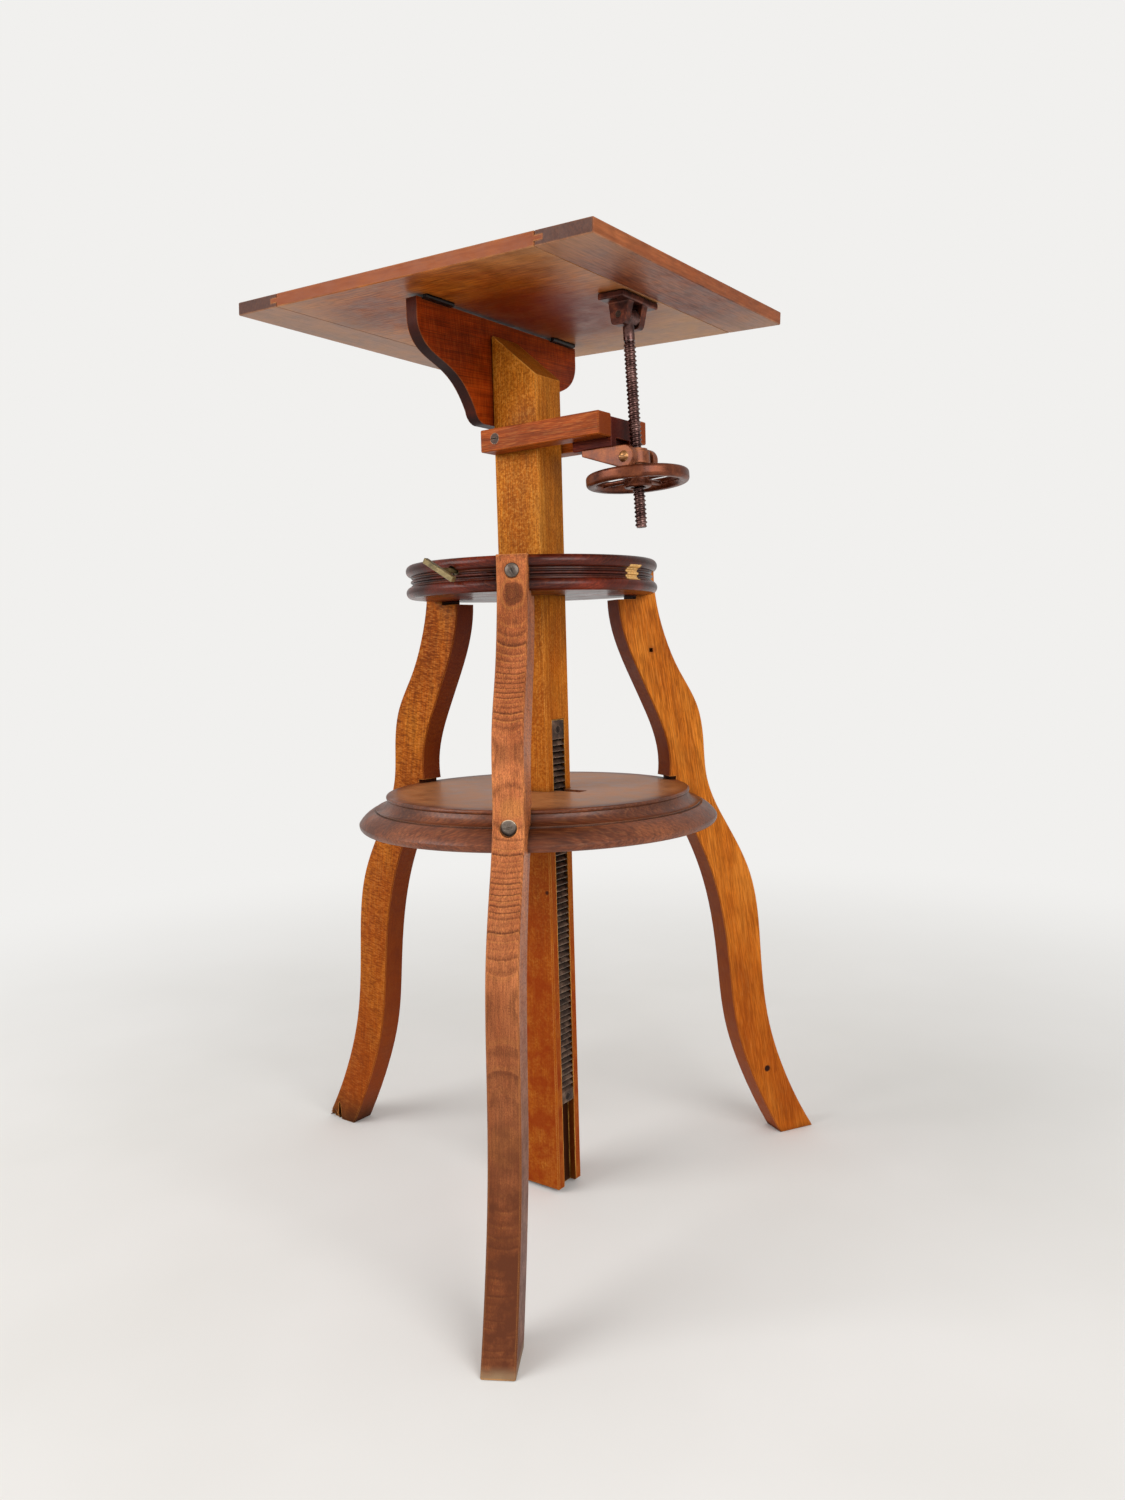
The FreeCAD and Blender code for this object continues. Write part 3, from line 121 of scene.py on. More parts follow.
def rubDustAndShade(tree, colour, look, kind, share=None):
    # handling rubs the arrises pale, and dust and old wax stay in the corners; the corners are also darkened with
    # painted shade, found by ambient occlusion
    rounded = addNode(tree, "Bevel", {"Radius": look["wearReach"] * mm}, samples=wearLook["samples"])
    crisp = addNode(tree, "NewGeometry", out="Normal")
    turned = addNode(tree, "VectorMath", (rounded, crisp), out="Value", operation="DOT_PRODUCT")
    # the pale arris is wear, and on the column and the rack's teeth it is also a painted highlight
    rubbed = addNode(tree, "MapRange", (turned, wearLook["flat"], wearLook["sharp"], 0.0, look["wearAndHighlight"]))
    if share:
        rubbed = addNode(tree, "Math", (rubbed, share), operation="MULTIPLY")
    colour = addNode(tree, "Mix", {0: rubbed, 6: colour, 7: look["bare"]}, **tinted)
    reach = {"Distance": kind["corner"] * mm}
    # painted shade: the colour darkens where the occlusion finds a corner, a crease or a gap
    hollow = addNode(tree, "AmbientOcclusion", reach, out="AO", samples=wearLook["samples"])
    dustAndShade = addNode(tree, "MapRange", (hollow, kind["deep"], wearLook["open"], 1 - look["grimeAndShade"], 1.0))
    return addNode(tree, "Mix", {0: 1.0, 6: colour, 7: dustAndShade}, **shaded)


# woods: a solid grain runs through each board, so curved cuts show arcs and ends show rings

woodLook = {
    # sizes in mm: sway of the rings, drift of the tone, patches of varnish, reach of dust and painted shade, depth
    # of relief
    "sway": (25, 25, 120), "drift": (40, 40, 130), "patch": 22, "corner": 9, "relief": 0.25,
    # a year's growth from line to line: it darkens to late wood, and a pale band of early wood follows
    "late": ((0.0, 0.0), (0.5, 0.12), (0.86, 1.0), (0.97, 0.8), (1.0, 0.0)),
    "early": ((0.0, 0.0), (0.08, 1.0), (0.3, 0.0)),
    # the stretch of each noise that counts
    "years": (0.4, 0.6), "rays": (0.5, 0.6), "glints": (0.46, 0.36), "tones": (0.34, 0.5, 0.66),
    "fibres": (0.36, 0.64), "patches": (0.35, 0.65), "gloss": (0.3, 0.7),
    # shares: a weak year's line, the early band, the glints, the wood between fibres, rings in the relief
    "weakYear": 0.2, "band": 0.45, "glint": 0.6, "between": 0.3, "ringProud": 0.4,
    # stain, soil and painted shade lie unevenly, and hands reach some patches only
    "endGrain": 4.0, "soakAndShade": 0.8, "uneven": (0.3, 0.6, 0.6, 1.15), "handled": (0.4, 0.6, 0.2, 1.0),
    "blackEdge": (-0.4, 0.1), "blackShare": 0.93, "deep": 0.35,
    # how far the roughness falls and rises with the patches, and rises on a ray
    "smoother": 0.06, "duller": 0.1, "rayDull": 0.12,
}


def intoBoard(look):
    # a turn and a shift that put the heart on z, with x along the rays and z along the fibres
    grain = Vector(look["grain"]).normalized()
    ray = Vector(look["ray"])
    ray = (ray - grain * ray.dot(grain)).normalized()
    turn = Matrix((ray, grain.cross(ray), grain))
    heart = Vector((axisX, 0, 0)) + Vector(look["heart"]) * mm
    return turn.to_euler(), -(turn @ heart), grain


def growthRings(tree, board, look):
    # rings round the heart, a little out of true: dark late lines, pale early ones, some years strong
    flat = addNode(tree, "VectorMath", (board, (1, 1, 0)), operation="MULTIPLY")
    radius = addNode(tree, "VectorMath", (flat,), out="Value", operation="LENGTH")
    slow = addNode(tree, "Mapping", {"Vector": board, "Scale": repeats(woodLook["sway"])})
    sway = addNode(tree, "TexNoise", {"Vector": slow, "Scale": 1.0, "Detail": 4.0, "Roughness": 0.55})
    bend = addNode(tree, "Math", (sway, look["sway"] * mm, 0.0), operation="MULTIPLY_ADD")
    bent = addNode(tree, "Math", (radius, bend), operation="ADD")
    count = addNode(tree, "Math", (bent, look["ring"] * mm), operation="DIVIDE")
    phase = addNode(tree, "Math", (count,), operation="FRACT")
    late = addNode(tree, "ValToRGB", (phase,), stops=woodLook["late"])
    early = addNode(tree, "ValToRGB", (phase,), stops=woodLook["early"])
    year = addNode(tree, "TexNoise", {"W": count, "Scale": 0.9, "Detail": 1.0}, noise_dimensions="1D")
    weak = look["ringShow"] * woodLook["weakYear"]
    strength = addNode(tree, "MapRange", (year, *woodLook["years"], weak, look["ringShow"]))
    rings = addNode(tree, "Math", (late, strength), operation="MULTIPLY")
    softer = addNode(tree, "Math", (strength, woodLook["band"]), operation="MULTIPLY")
    springs = addNode(tree, "Math", (early, softer), operation="MULTIPLY")
    return late, rings, springs


def raysAndFibres(tree, board, look):
    # rays are short thin ribbons across the rings, dark where cut and pale beside, and fibres run along
    streak = addNode(tree, "Mapping", {"Vector": board, "Scale": repeats(look["raySize"])})
    speck = addNode(tree, "TexNoise", {
        "Vector": streak, "Scale": 1.0, "Detail": 2.0, "Roughness": 0.6, "Distortion": 0.4,
    })
    rays = addNode(tree, "MapRange", (speck, *woodLook["rays"], 0.0, look["rayShow"]))
    glint = look["rayShow"] * woodLook["glint"]
    glints = addNode(tree, "MapRange", (speck, *woodLook["glints"], 0.0, glint))
    pore = addNode(tree, "Mapping", {"Vector": board, "Scale": repeats(look["fibreSize"])})
    fibre = addNode(tree, "TexNoise", {"Vector": pore, "Scale": 1.0, "Detail": 2.0, "Roughness": 0.6})
    return rays, glints, fibre


def stainShadeAndSheen(tree, colour, place, facing, patch, grain, look):
    # end grain drinks the stain, and so do the faces that the look names; on the bracket's faces that turn down
    # this tint is painted shade
    ends = (grain, woodLook["endGrain"], 1.0, look["line"])
    for aim, power, reach, tint in (ends, *look.get("stainsAndShade", ())):
        way = Vector(aim).normalized()
        lean = addNode(tree, "VectorMath", (facing, way), out="Value", operation="DOT_PRODUCT")
        lean = addNode(tree, "Math", (lean,), operation="ABSOLUTE") if aim is grain else lean
        lean = addNode(tree, "Math", (lean, 0.0), operation="MAXIMUM")
        lean = addNode(tree, "Math", (lean, power), operation="POWER")
        share = addNode(tree, "Math", (lean, reach * woodLook["soakAndShade"]), operation="MULTIPLY")
        colour = addNode(tree, "Mix", {0: share, 6: colour, 7: tint}, **tinted)
    uneven = addNode(tree, "MapRange", (patch, *woodLook["uneven"]))
    # soil and painted shade: the tone changes towards the floor, mostly darker as painted shade where less light
    # falls, from a height low to a height high
    for low, high, reach, tint in look.get("soilAndShade", ()):
        height = addNode(tree, "SeparateXYZ", (place,), out=2)
        rise = addNode(tree, "MapRange", (height, low * mm, high * mm, reach, 0.0), **eased)
        rise = addNode(tree, "Math", (rise, uneven), operation="MULTIPLY", use_clamp=True)
        colour = addNode(tree, "Mix", {0: rise, 6: colour, 7: tint}, **tinted)
    # spots: knots and nail holes round one point; films: dust, stain and painted sheen round one, on one face only
    for spot, near, far, reach, tint, *face in (*look.get("spots", ()), *look.get("filmsAndSheen", ())):
        away = addNode(tree, "VectorMath", (place, spot), out="Value", operation="DISTANCE")
        filmAndSheen = addNode(tree, "MapRange", (away, near * mm, far * mm, *reach), **eased)
        if face:
            lean = addNode(tree, "VectorMath", (facing, face[0]), out="Value", operation="DOT_PRODUCT")
            lean = addNode(tree, "Math", (lean, 0.0), operation="MAXIMUM")
            filmAndSheen = addNode(tree, "Math", (filmAndSheen, lean), operation="MULTIPLY")
        filmAndSheen = addNode(tree, "Math", (filmAndSheen, uneven), operation="MULTIPLY", use_clamp=True)
        colour = addNode(tree, "Mix", {0: filmAndSheen, 6: colour, 7: tint}, **tinted)
    # oiled: inside this box the wood is painted near black
    edge = [depth * mm for depth in woodLook["blackEdge"]]
    for middle, half, tint in look.get("oiled", ()):
        off = addNode(tree, "VectorMath", (place, middle), operation="SUBTRACT")
        off = addNode(tree, "VectorMath", (off,), operation="ABSOLUTE")
        off = addNode(tree, "VectorMath", (off, half), operation="SUBTRACT")
        off = addNode(tree, "SeparateXYZ", (off,), out=None)
        past = addNode(tree, "Math", (off.outputs[0], off.outputs[1]), operation="MAXIMUM")
        past = addNode(tree, "Math", (past, off.outputs[2]), operation="MAXIMUM")
        inBox = addNode(tree, "MapRange", (past, *edge, woodLook["blackShare"], 0.0))
        colour = addNode(tree, "Mix", {0: inBox, 6: colour, 7: tint}, **tinted)
    return colour


def varnishedWood(name, look):
    material, tree = newMaterial(name)
    turn, shift, grain = intoBoard(look)
    place = addNode(tree, "TexCoord", out="Object")
    facing = addNode(tree, "TexCoord", out="Normal")
    board = addNode(tree, "Mapping", {"Vector": place, "Rotation": turn, "Location": shift})
    late, rings, springs = growthRings(tree, board, look)
    rays, glints, fibre = raysAndFibres(tree, board, look)

    # the tone drifts along the board, and the varnish lies in thick and thin patches
    drift = addNode(tree, "Mapping", {"Vector": board, "Scale": repeats(woodLook["drift"])})
    tone = addNode(tree, "TexNoise", {"Vector": drift, "Scale": 1.0, "Detail": 3.0, "Roughness": 0.55})
    patch = addNode(tree, "TexNoise", {
        "Vector": place, "Scale": 1 / (woodLook["patch"] * mm), "Detail": 4.0, "Roughness": 0.6,
    })
    tones = zip(woodLook["tones"], (look["dark"], look["mid"], look["light"]))
    colour = addNode(tree, "ValToRGB", (tone,), stops=tones)
    line, bare = look["line"], look["bare"]
    marks = ((rings, line), (springs, bare), (glints, bare), (rays, line))
    for share, tint in marks:
        colour = addNode(tree, "Mix", {0: share, 6: colour, 7: tint}, **tinted)
    deep, bright = 1 - look["fibreShow"], 1.0 + look["fibreShow"] * woodLook["between"]
    shade = addNode(tree, "MapRange", (fibre, *woodLook["fibres"], deep, bright))
    thick = addNode(tree, "MapRange", (patch, *woodLook["patches"], 1 - look["patchShow"], 1.0))
    for depth in (shade, thick):
        colour = addNode(tree, "Mix", {0: 1.0, 6: colour, 7: depth}, **shaded)

    colour = stainShadeAndSheen(tree, colour, place, facing, patch, grain, look)
    handled = addNode(tree, "MapRange", (patch, *woodLook["handled"]))
    colour = rubDustAndShade(tree, colour, look, woodLook, handled)
    low, high = look["rough"] - woodLook["smoother"], look["rough"] + woodLook["duller"]
    gloss = addNode(tree, "MapRange", (patch, *woodLook["gloss"], low, high))
    gloss = addNode(tree, "Math", (rays, woodLook["rayDull"], gloss), operation="MULTIPLY_ADD")
    relief = addNode(tree, "Math", (late, woodLook["ringProud"], fibre), operation="MULTIPLY_ADD")
    bump = addNode(tree, "Bump", {
        "Strength": look["bump"], "Distance": woodLook["relief"] * mm, "Height": relief,
    })
    shader = addNode(tree, "BsdfPrincipled", {
        "Base Color": colour, "Roughness": gloss, "Normal": bump, "IOR": 1.5,
        "Specular IOR Level": look["shine"], "Coat Weight": look["coat"],
        "Coat Roughness": look["coatRough"], "Coat IOR": 1.5,
    })
    addNode(tree, "OutputMaterial", (shader,), out=None)
    return material


# Beech rays are 0.2 to 0.3 mm wide and its pores under 0.1 mm. Rays are drawn from 0.5 mm and fibres at
# 1.3 mm, as fine as still shows. Sizes are in mm and places in metres. A stain, also used for painted shade
# on faces, is (face, power, reach, tint), a soil with painted shade (low, high, reach, tint), a spot (place,
# near, far, (reach near, reach far), tint), a film of dust, stain and painted sheen the same with a face at
# its end, and an oiled box, painted near black, (middle, half size, tint).

satin = {  # worn hand-rubbed varnish over beech: a low sheen that keeps the colour deep
    "ring": 1.5, "ringShow": 0.5, "sway": 1.6, "raySize": (3.0, 0.5, 2.0), "rayShow": 0.4,
    "fibreSize": (1.3, 1.3, 38), "fibreShow": 0.3, "patchShow": 0.16, "wearAndHighlight": 0.6, "wearReach": 2.2,
    "grimeAndShade": 0.6, "rough": 0.42, "bump": 0.25, "shine": 0.1, "coat": 0.02, "coatRough": 0.3,
    "grain": (0, 0, 1), "ray": (1, 0, 0), "heart": (-90, 12, 0),
}
columnLook = {  # beech cut on the quarter: amber, speckled with rays on the broad faces
    **satin, "light": "#E08C2C", "mid": "#D27A1C", "dark": "#BA6412", "line": "#843C06", "bare": "#F4B458",
    # its pale arrises are wear and a painted highlight
    "ring": 2.6, "ringShow": 0.3, "raySize": (2.4, 0.7, 2.0), "rayShow": 0.5, "wearAndHighlight": 1.0, "wearReach": 2.6,
    "shine": 0.06, "coat": 0.01,
    # soil and painted shade: the column darkens towards the floor, where less light falls
    "soilAndShade": ((180, 720, 0.82, "#862E00"),),
    "spots": (((0.0913, -0.0205, 0.3295), 1.5, 3.0, (0.85, 0.0), "#2A120A"),),
    # a box low on the column, painted near black
    "oiled": (((axisX + 0.026, 0, 0.256), (0.0056, 0.0107, 0.2565), "#1E0E08"),),
}
ringLook = {  # dark red stain under a thick glossy varnish: near black in the coves with painted shade, red in the light
    **satin, "light": "#882E16", "mid": "#5C1B0C", "dark": "#380E06", "line": "#200A06", "bare": "#B05C2C",
    "ring": 2.4, "ringShow": 0.4, "rayShow": 0.15, "rough": 0.3, "shine": 0.18, "coat": 0.15,
    "coatRough": 0.14, "grimeAndShade": 0.9, "wearAndHighlight": 0.4,
    "grain": (0.8, 0.6, 0), "ray": (0, 0, 1), "heart": (0, 0, 560),
}
shelfLook = {  # the same stain worn thin and dry: brown on the rim, paler on the flat top, which is worn and carries a painted sheen
    **satin, "light": "#9C5630", "mid": "#824222", "dark": "#643016", "line": "#381A0C", "bare": "#B47648",
    "ring": 3.2, "ringShow": 0.3, "rayShow": 0.3, "raySize": (3.0, 1.6, 22.0), "rough": 0.38,
    "shine": 0.34, "coat": 0.12, "coatRough": 0.25, "grimeAndShade": 0.9, "wearAndHighlight": 0.3,
    "grain": (0.8, 0.6, 0), "ray": (0, 0, 1), "heart": (30, -20, 320),
    "filmsAndSheen": (((axisX, 0, shelfTop), 140, 160, (0.7, 0.0), "#C0804E", (0, 0, 1)),),
}
tableLook = {  # thin satin varnish over pale fruitwood: cloudy, streaked along X, pale towards its ends with dust and a painted sheen
    **satin, "light": "#CC7220", "mid": "#AE5612", "dark": "#8C3E0A", "line": "#5E2406", "bare": "#D08C44",
    "ring": 4.0, "ringShow": 0.35, "rayShow": 0.35, "raySize": (3.0, 2.0, 18.0), "patchShow": 0.3,
    "rough": 0.36, "shine": 0.16, "coat": 0.04,
    "grain": (1, 0, -0.046), "ray": (0, 0, 1), "heart": (0, 40, 780),
    "stainsAndShade": (((0, -1, 0), 4.0, 1.0, "#883E0A"), ((1, 0, 0), 4.0, 0.6, "#94480E")),
    "filmsAndSheen": (((0.05, -0.06, tableUnder), 90, 230, (0.0, 0.6), "#C89E74", (0, 0, -1)),
              ((0.1, 0.0, tableUnder), 40, 130, (0.8, 0.0), "#721C00", (0, 0, -1))),
    "spots": (((0.115, 0.043, 0.925), 0.8, 2.0, (0.9, 0.0), "#2A1208"),),
}
cleatLook = {  # the cleats are a redder, duller wood with their fibres along Y
    **tableLook, "light": "#AE6438", "mid": "#964C28", "dark": "#7A3A1E",
    "line": "#3E2218", "bare": "#BC7A4E", "grain": (0, 1, 0), "heart": (0, 0, 800),
    "stainsAndShade": (((1, 0, 0), 4.0, 0.5, "#A05424"),), "spots": (),
    # a pale film of dust and painted sheen on the cleats' underside
    "filmsAndSheen": (((0.2, 0.0, tableUnder), 60, 200, (0.0, 0.5), "#C69C7A", (0, 0, -1)),),
}
bracketLook = {  # close-grained dark fruitwood, nearly black on its sawn edge: stain, with painted shade on the faces that turn down
    **satin, "light": "#C04C10", "mid": "#9C3606", "dark": "#762402", "line": "#4A1402", "bare": "#BE682C",
    "grain": (0, 1, 0.06), "ray": (1, 0, 0), "heart": (-70, 0, 840), "ringShow": 0.5, "rayShow": 0.3,
    "raySize": (3.0, 14.0, 1.2),
    # painted shade: the faces that turn down are darkened
    "stainsAndShade": (((0, -0.6, -0.8), 1.5, 1.2, "#22100E"), ((0, 0.6, -0.8), 1.5, 1.2, "#22100E")),
}
yokeLook = {  # orange beech bars, rubbed bright along their arrises
    **satin, "light": "#C86420", "mid": "#AE4E14", "dark": "#90400E", "line": "#742E0A", "bare": "#DE904A",
    "grain": (1, 0, 0), "ray": (0, 0, 1), "heart": (0, 0, 740), "ringShow": 0.5, "rayShow": 0.4,
    "raySize": (1.2, 1.0, 14.0),
}
blockLook = {  # the block between them kept its red stain
    **yokeLook, "light": "#A0381A", "mid": "#822812", "dark": "#62180A",
    "line": "#3C0E06", "bare": "#A45430",
}
plugLook = {  # a bare pine plug let into the rim
    **satin, "light": "#F6C680", "mid": "#ECB468", "dark": "#D89C50", "line": "#B07C38", "bare": "#F8DCA8",
    "ring": 1.4, "ringShow": 0.4, "rayShow": 0.1, "rough": 0.55, "coat": 0.0, "wearAndHighlight": 0.1, "grimeAndShade": 0.15,
}
legLook = {  # sawn beech: arcs on the curved faces, rays on the flat ones, dark stain inside the curve
    **satin, "light": "#D2781C", "mid": "#B85C0C", "dark": "#9A4404", "line": "#622802", "bare": "#E2984A",
    "ring": 1.4, "raySize": (6.0, 0.6, 1.3), "rayShow": 0.6, "shine": 0.07,
}
legWood = {"lean": -0.15, "heartOut": 120, "inner": (1.2, 1.0, "#6A260C")}  # fibres lean in as they rise
frontLook = {  # the leg that faces the light: pinker, its arcs clear, darker towards the foot with painted shade, and pale and worn at its very foot
    "light": "#DE8650", "mid": "#C06A3C", "dark": "#A05228", "line": "#5A260E",
    "ring": 1.9, "ringShow": 0.85, "rayShow": 0.45, "shine": 0.2,
    "soilAndShade": ((40, 460, 0.95, "#5C2C12"), (0, 10, 0.8, "#9A7C5C")),
}
rightLook = {  # cut along the fibres: long fine streaks, a knot low down and a red mark above the shelf
    "light": "#EA8C2C", "mid": "#D6761C", "dark": "#B85C10", "rayShow": 0.35, "ringShow": 0.35,
    # soil and painted shade: the leg darkens towards the floor
    "raySize": (1.2, 0.6, 16.0), "fibreShow": 0.3, "soilAndShade": ((0, 560, 0.45, "#9A4204"),),
    "spots": (((0.2186, 0.2337, 0.0823), 2.5, 5.0, (1.1, 0.0), "#2A120A"),
              ((0.1467, 0.1091, 0.5815), 2.0, 6.0, (0.6, 0.0), "#6A1E06")),
}
leftLook = {"soilAndShade": ((60, 620, 0.5, "#8A3800"), (0, 50, 0.75, "#40220C"))}  # redder and darker towards the floor with painted shade, near black at the toe
# each leg: degrees round the axis from +X, and what sets its wood apart
legs = {"front_leg": (-60, frontLook), "right_leg": (60, rightLook), "left_leg": (180, leftLook)}
woods = {
    "column": varnishedWood("quartered beech, amber varnish", columnLook),
    "upper_ring": varnishedWood("turned beech, dark glossy stain", ringLook),
    "ring_plug": varnishedWood("bare pine plug", plugLook),
    "lower_shelf": varnishedWood("turned beech, worn brown stain", shelfLook),
    "bracket_board": varnishedWood("sawn fruitwood, dark varnish", bracketLook),
    "front_yoke_bar": varnishedWood("planed beech, rubbed varnish", yokeLook),
    "yoke_block": varnishedWood("planed beech, red stain", blockLook),
    "table_panel": varnishedWood("planed fruitwood panel, satin varnish", tableLook),
    "left_cleat": varnishedWood("planed cleats, satin varnish", cleatLook),
}
woods["rear_yoke_bar"] = woods["front_yoke_bar"]
woods["right_cleat"] = woods["left_cleat"]
legAims = []
for name, (degrees, change) in legs.items():
    turn = math.radians(degrees)
    out = Vector((math.cos(turn), math.sin(turn), 0))
    legAims.append(out)
    look = {
        **legLook, "grain": out * legWood["lean"] + Vector((0, 0, 1)), "ray": out,
        "heart": out * legWood["heartOut"], "stainsAndShade": ((-out, *legWood["inner"]),), **change,
    }
    woods[name] = varnishedWood(f"sawn beech {name.replace('_', ' ')}, rubbed varnish", look)
print("stage: woods mixed")


# metals: old castings, drawn bar and screws, each with its own patina

metalLook = {
    # sizes in mm: patches of patina, reach of dust and painted shade, depth of grit
    "cloud": 12, "corner": 5, "relief": 0.3,
    # the stretch of each noise that counts, how dark pits and corners get, how far the roughness goes
    "tones": (0.36, 0.52, 0.66), "pits": (0.32, 0.58, 0.6, 1.0), "deep": 0.3,
    "gloss": (0.3, 0.7), "smoother": 0.08, "duller": 0.12,
}


def agedMetal(name, look):
    material, tree = newMaterial(name)
    place = addNode(tree, "TexCoord", out="Object")
    # grit is the sand's or the tool's mark, drawn no finer than still shows
    grit = addNode(tree, "TexNoise", {
        "Vector": place, "Scale": 1 / (look["grit"] * mm), "Detail": 4.0, "Roughness": 0.65,
    })
    cloud = addNode(tree, "TexNoise", {
        "Vector": place, "Scale": 1 / (metalLook["cloud"] * mm), "Detail": 4.0, "Roughness": 0.6,
    })
    tones = zip(metalLook["tones"], (look["dark"], look["mid"], look["light"]))
    colour = addNode(tree, "ValToRGB", (cloud,), stops=tones)
    pits = addNode(tree, "MapRange", (grit, *metalLook["pits"]))
    colour = addNode(tree, "Mix", {0: 1.0, 6: colour, 7: pits}, **shaded)
    colour = rubDustAndShade(tree, colour, look, metalLook)
    low, high = look["rough"] - metalLook["smoother"], look["rough"] + metalLook["duller"]
    gloss = addNode(tree, "MapRange", (cloud, *metalLook["gloss"], low, high))
    bump = addNode(tree, "Bump", {
        "Strength": look["bump"], "Distance": metalLook["relief"] * mm, "Height": grit,
    })
    shader = addNode(tree, "BsdfPrincipled", {
        "Base Color": colour, "Roughness": gloss, "Normal": bump, "Metallic": look["metallic"],
    })
    addNode(tree, "OutputMaterial", (shader,), out=None)
    return material


# dark chestnut patina with a soft shine on the rim
wheelIron = agedMetal("cast iron wheel, polished by hands", {
    "light": "#86482A", "mid": "#743A20", "dark": "#582A18", "bare": "#BC845A",
    "grit": 0.9, "rough": 0.33, "metallic": 0.6, "wearAndHighlight": 0.4, "wearReach": 1.6, "grimeAndShade": 0.75, "bump": 0.12,
})
# orange brown on the open faces, darkened in the corners with painted shade
castBronze = agedMetal("sand-cast bronze, lacquered", {
    "light": "#A8623A", "mid": "#8E4C2A", "dark": "#6A341C", "bare": "#CE9060",
    "grit": 0.9, "rough": 0.38, "metallic": 0.4, "wearAndHighlight": 0.5, "wearReach": 1.2, "grimeAndShade": 0.7, "bump": 0.2,
})
# darker and redder, for the casting that sits under the table
castIron = agedMetal("sand-cast iron, brown patina", {
    "light": "#8A4A32", "mid": "#5E2E22", "dark": "#3A1C16", "bare": "#B0744E",
    "grit": 0.9, "rough": 0.38, "metallic": 0.6, "wearAndHighlight": 0.5, "wearReach": 1.2, "grimeAndShade": 0.7, "bump": 0.25,
})
# teeth rubbed bright, partly a painted highlight, and black in the gaps with grease and painted shade
rackIron = agedMetal("cast iron rack, oiled and dusty", {
    "light": "#8A6E5A", "mid": "#5E4638", "dark": "#34261E", "bare": "#E0C8AC",
    "grit": 0.7, "rough": 0.38, "metallic": 0.6, "wearAndHighlight": 0.9, "wearReach": 0.8, "grimeAndShade": 1.0, "bump": 0.3,
})
# purple brown, its crests rubbed and its roots darkened with oil and painted shade
screwSteel = agedMetal("cut steel thread, gone brown", {
    "light": "#927069", "mid": "#6C4C46", "dark": "#442C2A", "bare": "#E6CAC0",
    "grit": 0.5, "rough": 0.28, "metallic": 0.85, "wearAndHighlight": 0.9, "wearReach": 0.6, "grimeAndShade": 1.0, "bump": 0.15,
})
# dark flats with bright rims and slot edges
headSteel = agedMetal("filed steel heads, darkened", {
    "light": "#54443A", "mid": "#3E302A", "dark": "#281E1A", "bare": "#B49C84",
    "grit": 0.5, "rough": 0.34, "metallic": 0.85, "wearAndHighlight": 0.6, "wearReach": 0.35, "grimeAndShade": 0.9, "bump": 0.15,
})
# grey flats inside a pale worn rim, black in the slot with painted shade
rubbedSteel = agedMetal("turned steel heads, rubbed grey", {
    "light": "#988A7C", "mid": "#7C6E62", "dark": "#564A42", "bare": "#E4D0B4",
    "grit": 0.5, "rough": 0.36, "metallic": 0.4, "wearAndHighlight": 1.0, "wearReach": 0.7, "grimeAndShade": 1.0, "bump": 0.15,
})
# almost black, a little brown where it rubs
hingeSteel = agedMetal("rolled steel hinge, blackened", {
    "light": "#2E2420", "mid": "#221A18", "dark": "#161210", "bare": "#5A4A40",
    "grit": 0.5, "rough": 0.45, "metallic": 0.4, "wearAndHighlight": 0.4, "wearReach": 0.4, "grimeAndShade": 0.6, "bump": 0.15,
})
# clean warm yellow on the face, dark in the slot with painted shade
pivotBrass = agedMetal("turned brass screw heads", {
    "light": "#D09A64", "mid": "#BA8350", "dark": "#966038", "bare": "#F0CC98",
    "grit": 0.5, "rough": 0.3, "metallic": 0.7, "wearAndHighlight": 0.5, "wearReach": 0.5, "grimeAndShade": 0.8, "bump": 0.1,
})
# grey-green tarnish with a little yellow on the arrises
dullBrass = agedMetal("drawn brass, gone dull", {
    "light": "#9A865C", "mid": "#7E6C46", "dark": "#5C4E32", "bare": "#C8B484",
    "grit": 0.6, "rough": 0.38, "metallic": 0.55, "wearAndHighlight": 0.6, "wearReach": 0.8, "grimeAndShade": 0.7, "bump": 0.2,
})
metals = {
    "rack": rackIron, "pawl": rackIron, "pawl_bracket": rackIron, "tilt_screw": screwSteel,
    "table_casting": castIron, "clevis_casting": castBronze, "swivel_block": castBronze,
    "handwheel": wheelIron, "tilt_nut": castBronze, "hub_collar": castBronze,
    "clamp_bush": dullBrass, "clamp_bar": dullBrass, "clamp_screw": dullBrass,
    "pivot_screws": pivotBrass, "ring_screws": rubbedSteel, "shelf_screws": rubbedSteel,
    "hinge_leaves_fixed": hingeSteel, "hinge_leaves_table": hingeSteel, "hinge_pins": hingeSteel,
    "hinge_screws_fixed": hingeSteel, "hinge_screws_table": hingeSteel,
}
finishOf = {name: woods.get(name) or metals.get(name) or headSteel for name in nodes}
for name, thing in nodes.items():
    for slot in thing.material_slots:
        slot.material = finishOf[name]
print("stage: metals mixed, finishes laid on")


# pieces worked over: each stands for its solid and stays inside it

def placePiece(name, mesh, *solids):
    piece = bpy.data.objects.new(name, mesh)
    bpy.context.scene.collection.objects.link(piece)
    mesh.materials.clear()
    mesh.materials.append(finishOf[solids[0]])
    mesh.shade_smooth()
    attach(piece, bodyOf[solids[0]])
    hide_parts(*solids)
    return piece


# degrees: facets that turn by less than flat are one face, and mouldings turn by less than an arris does
shapeLook = {"flat": 0.1, "arris": 28, "steps": 3}


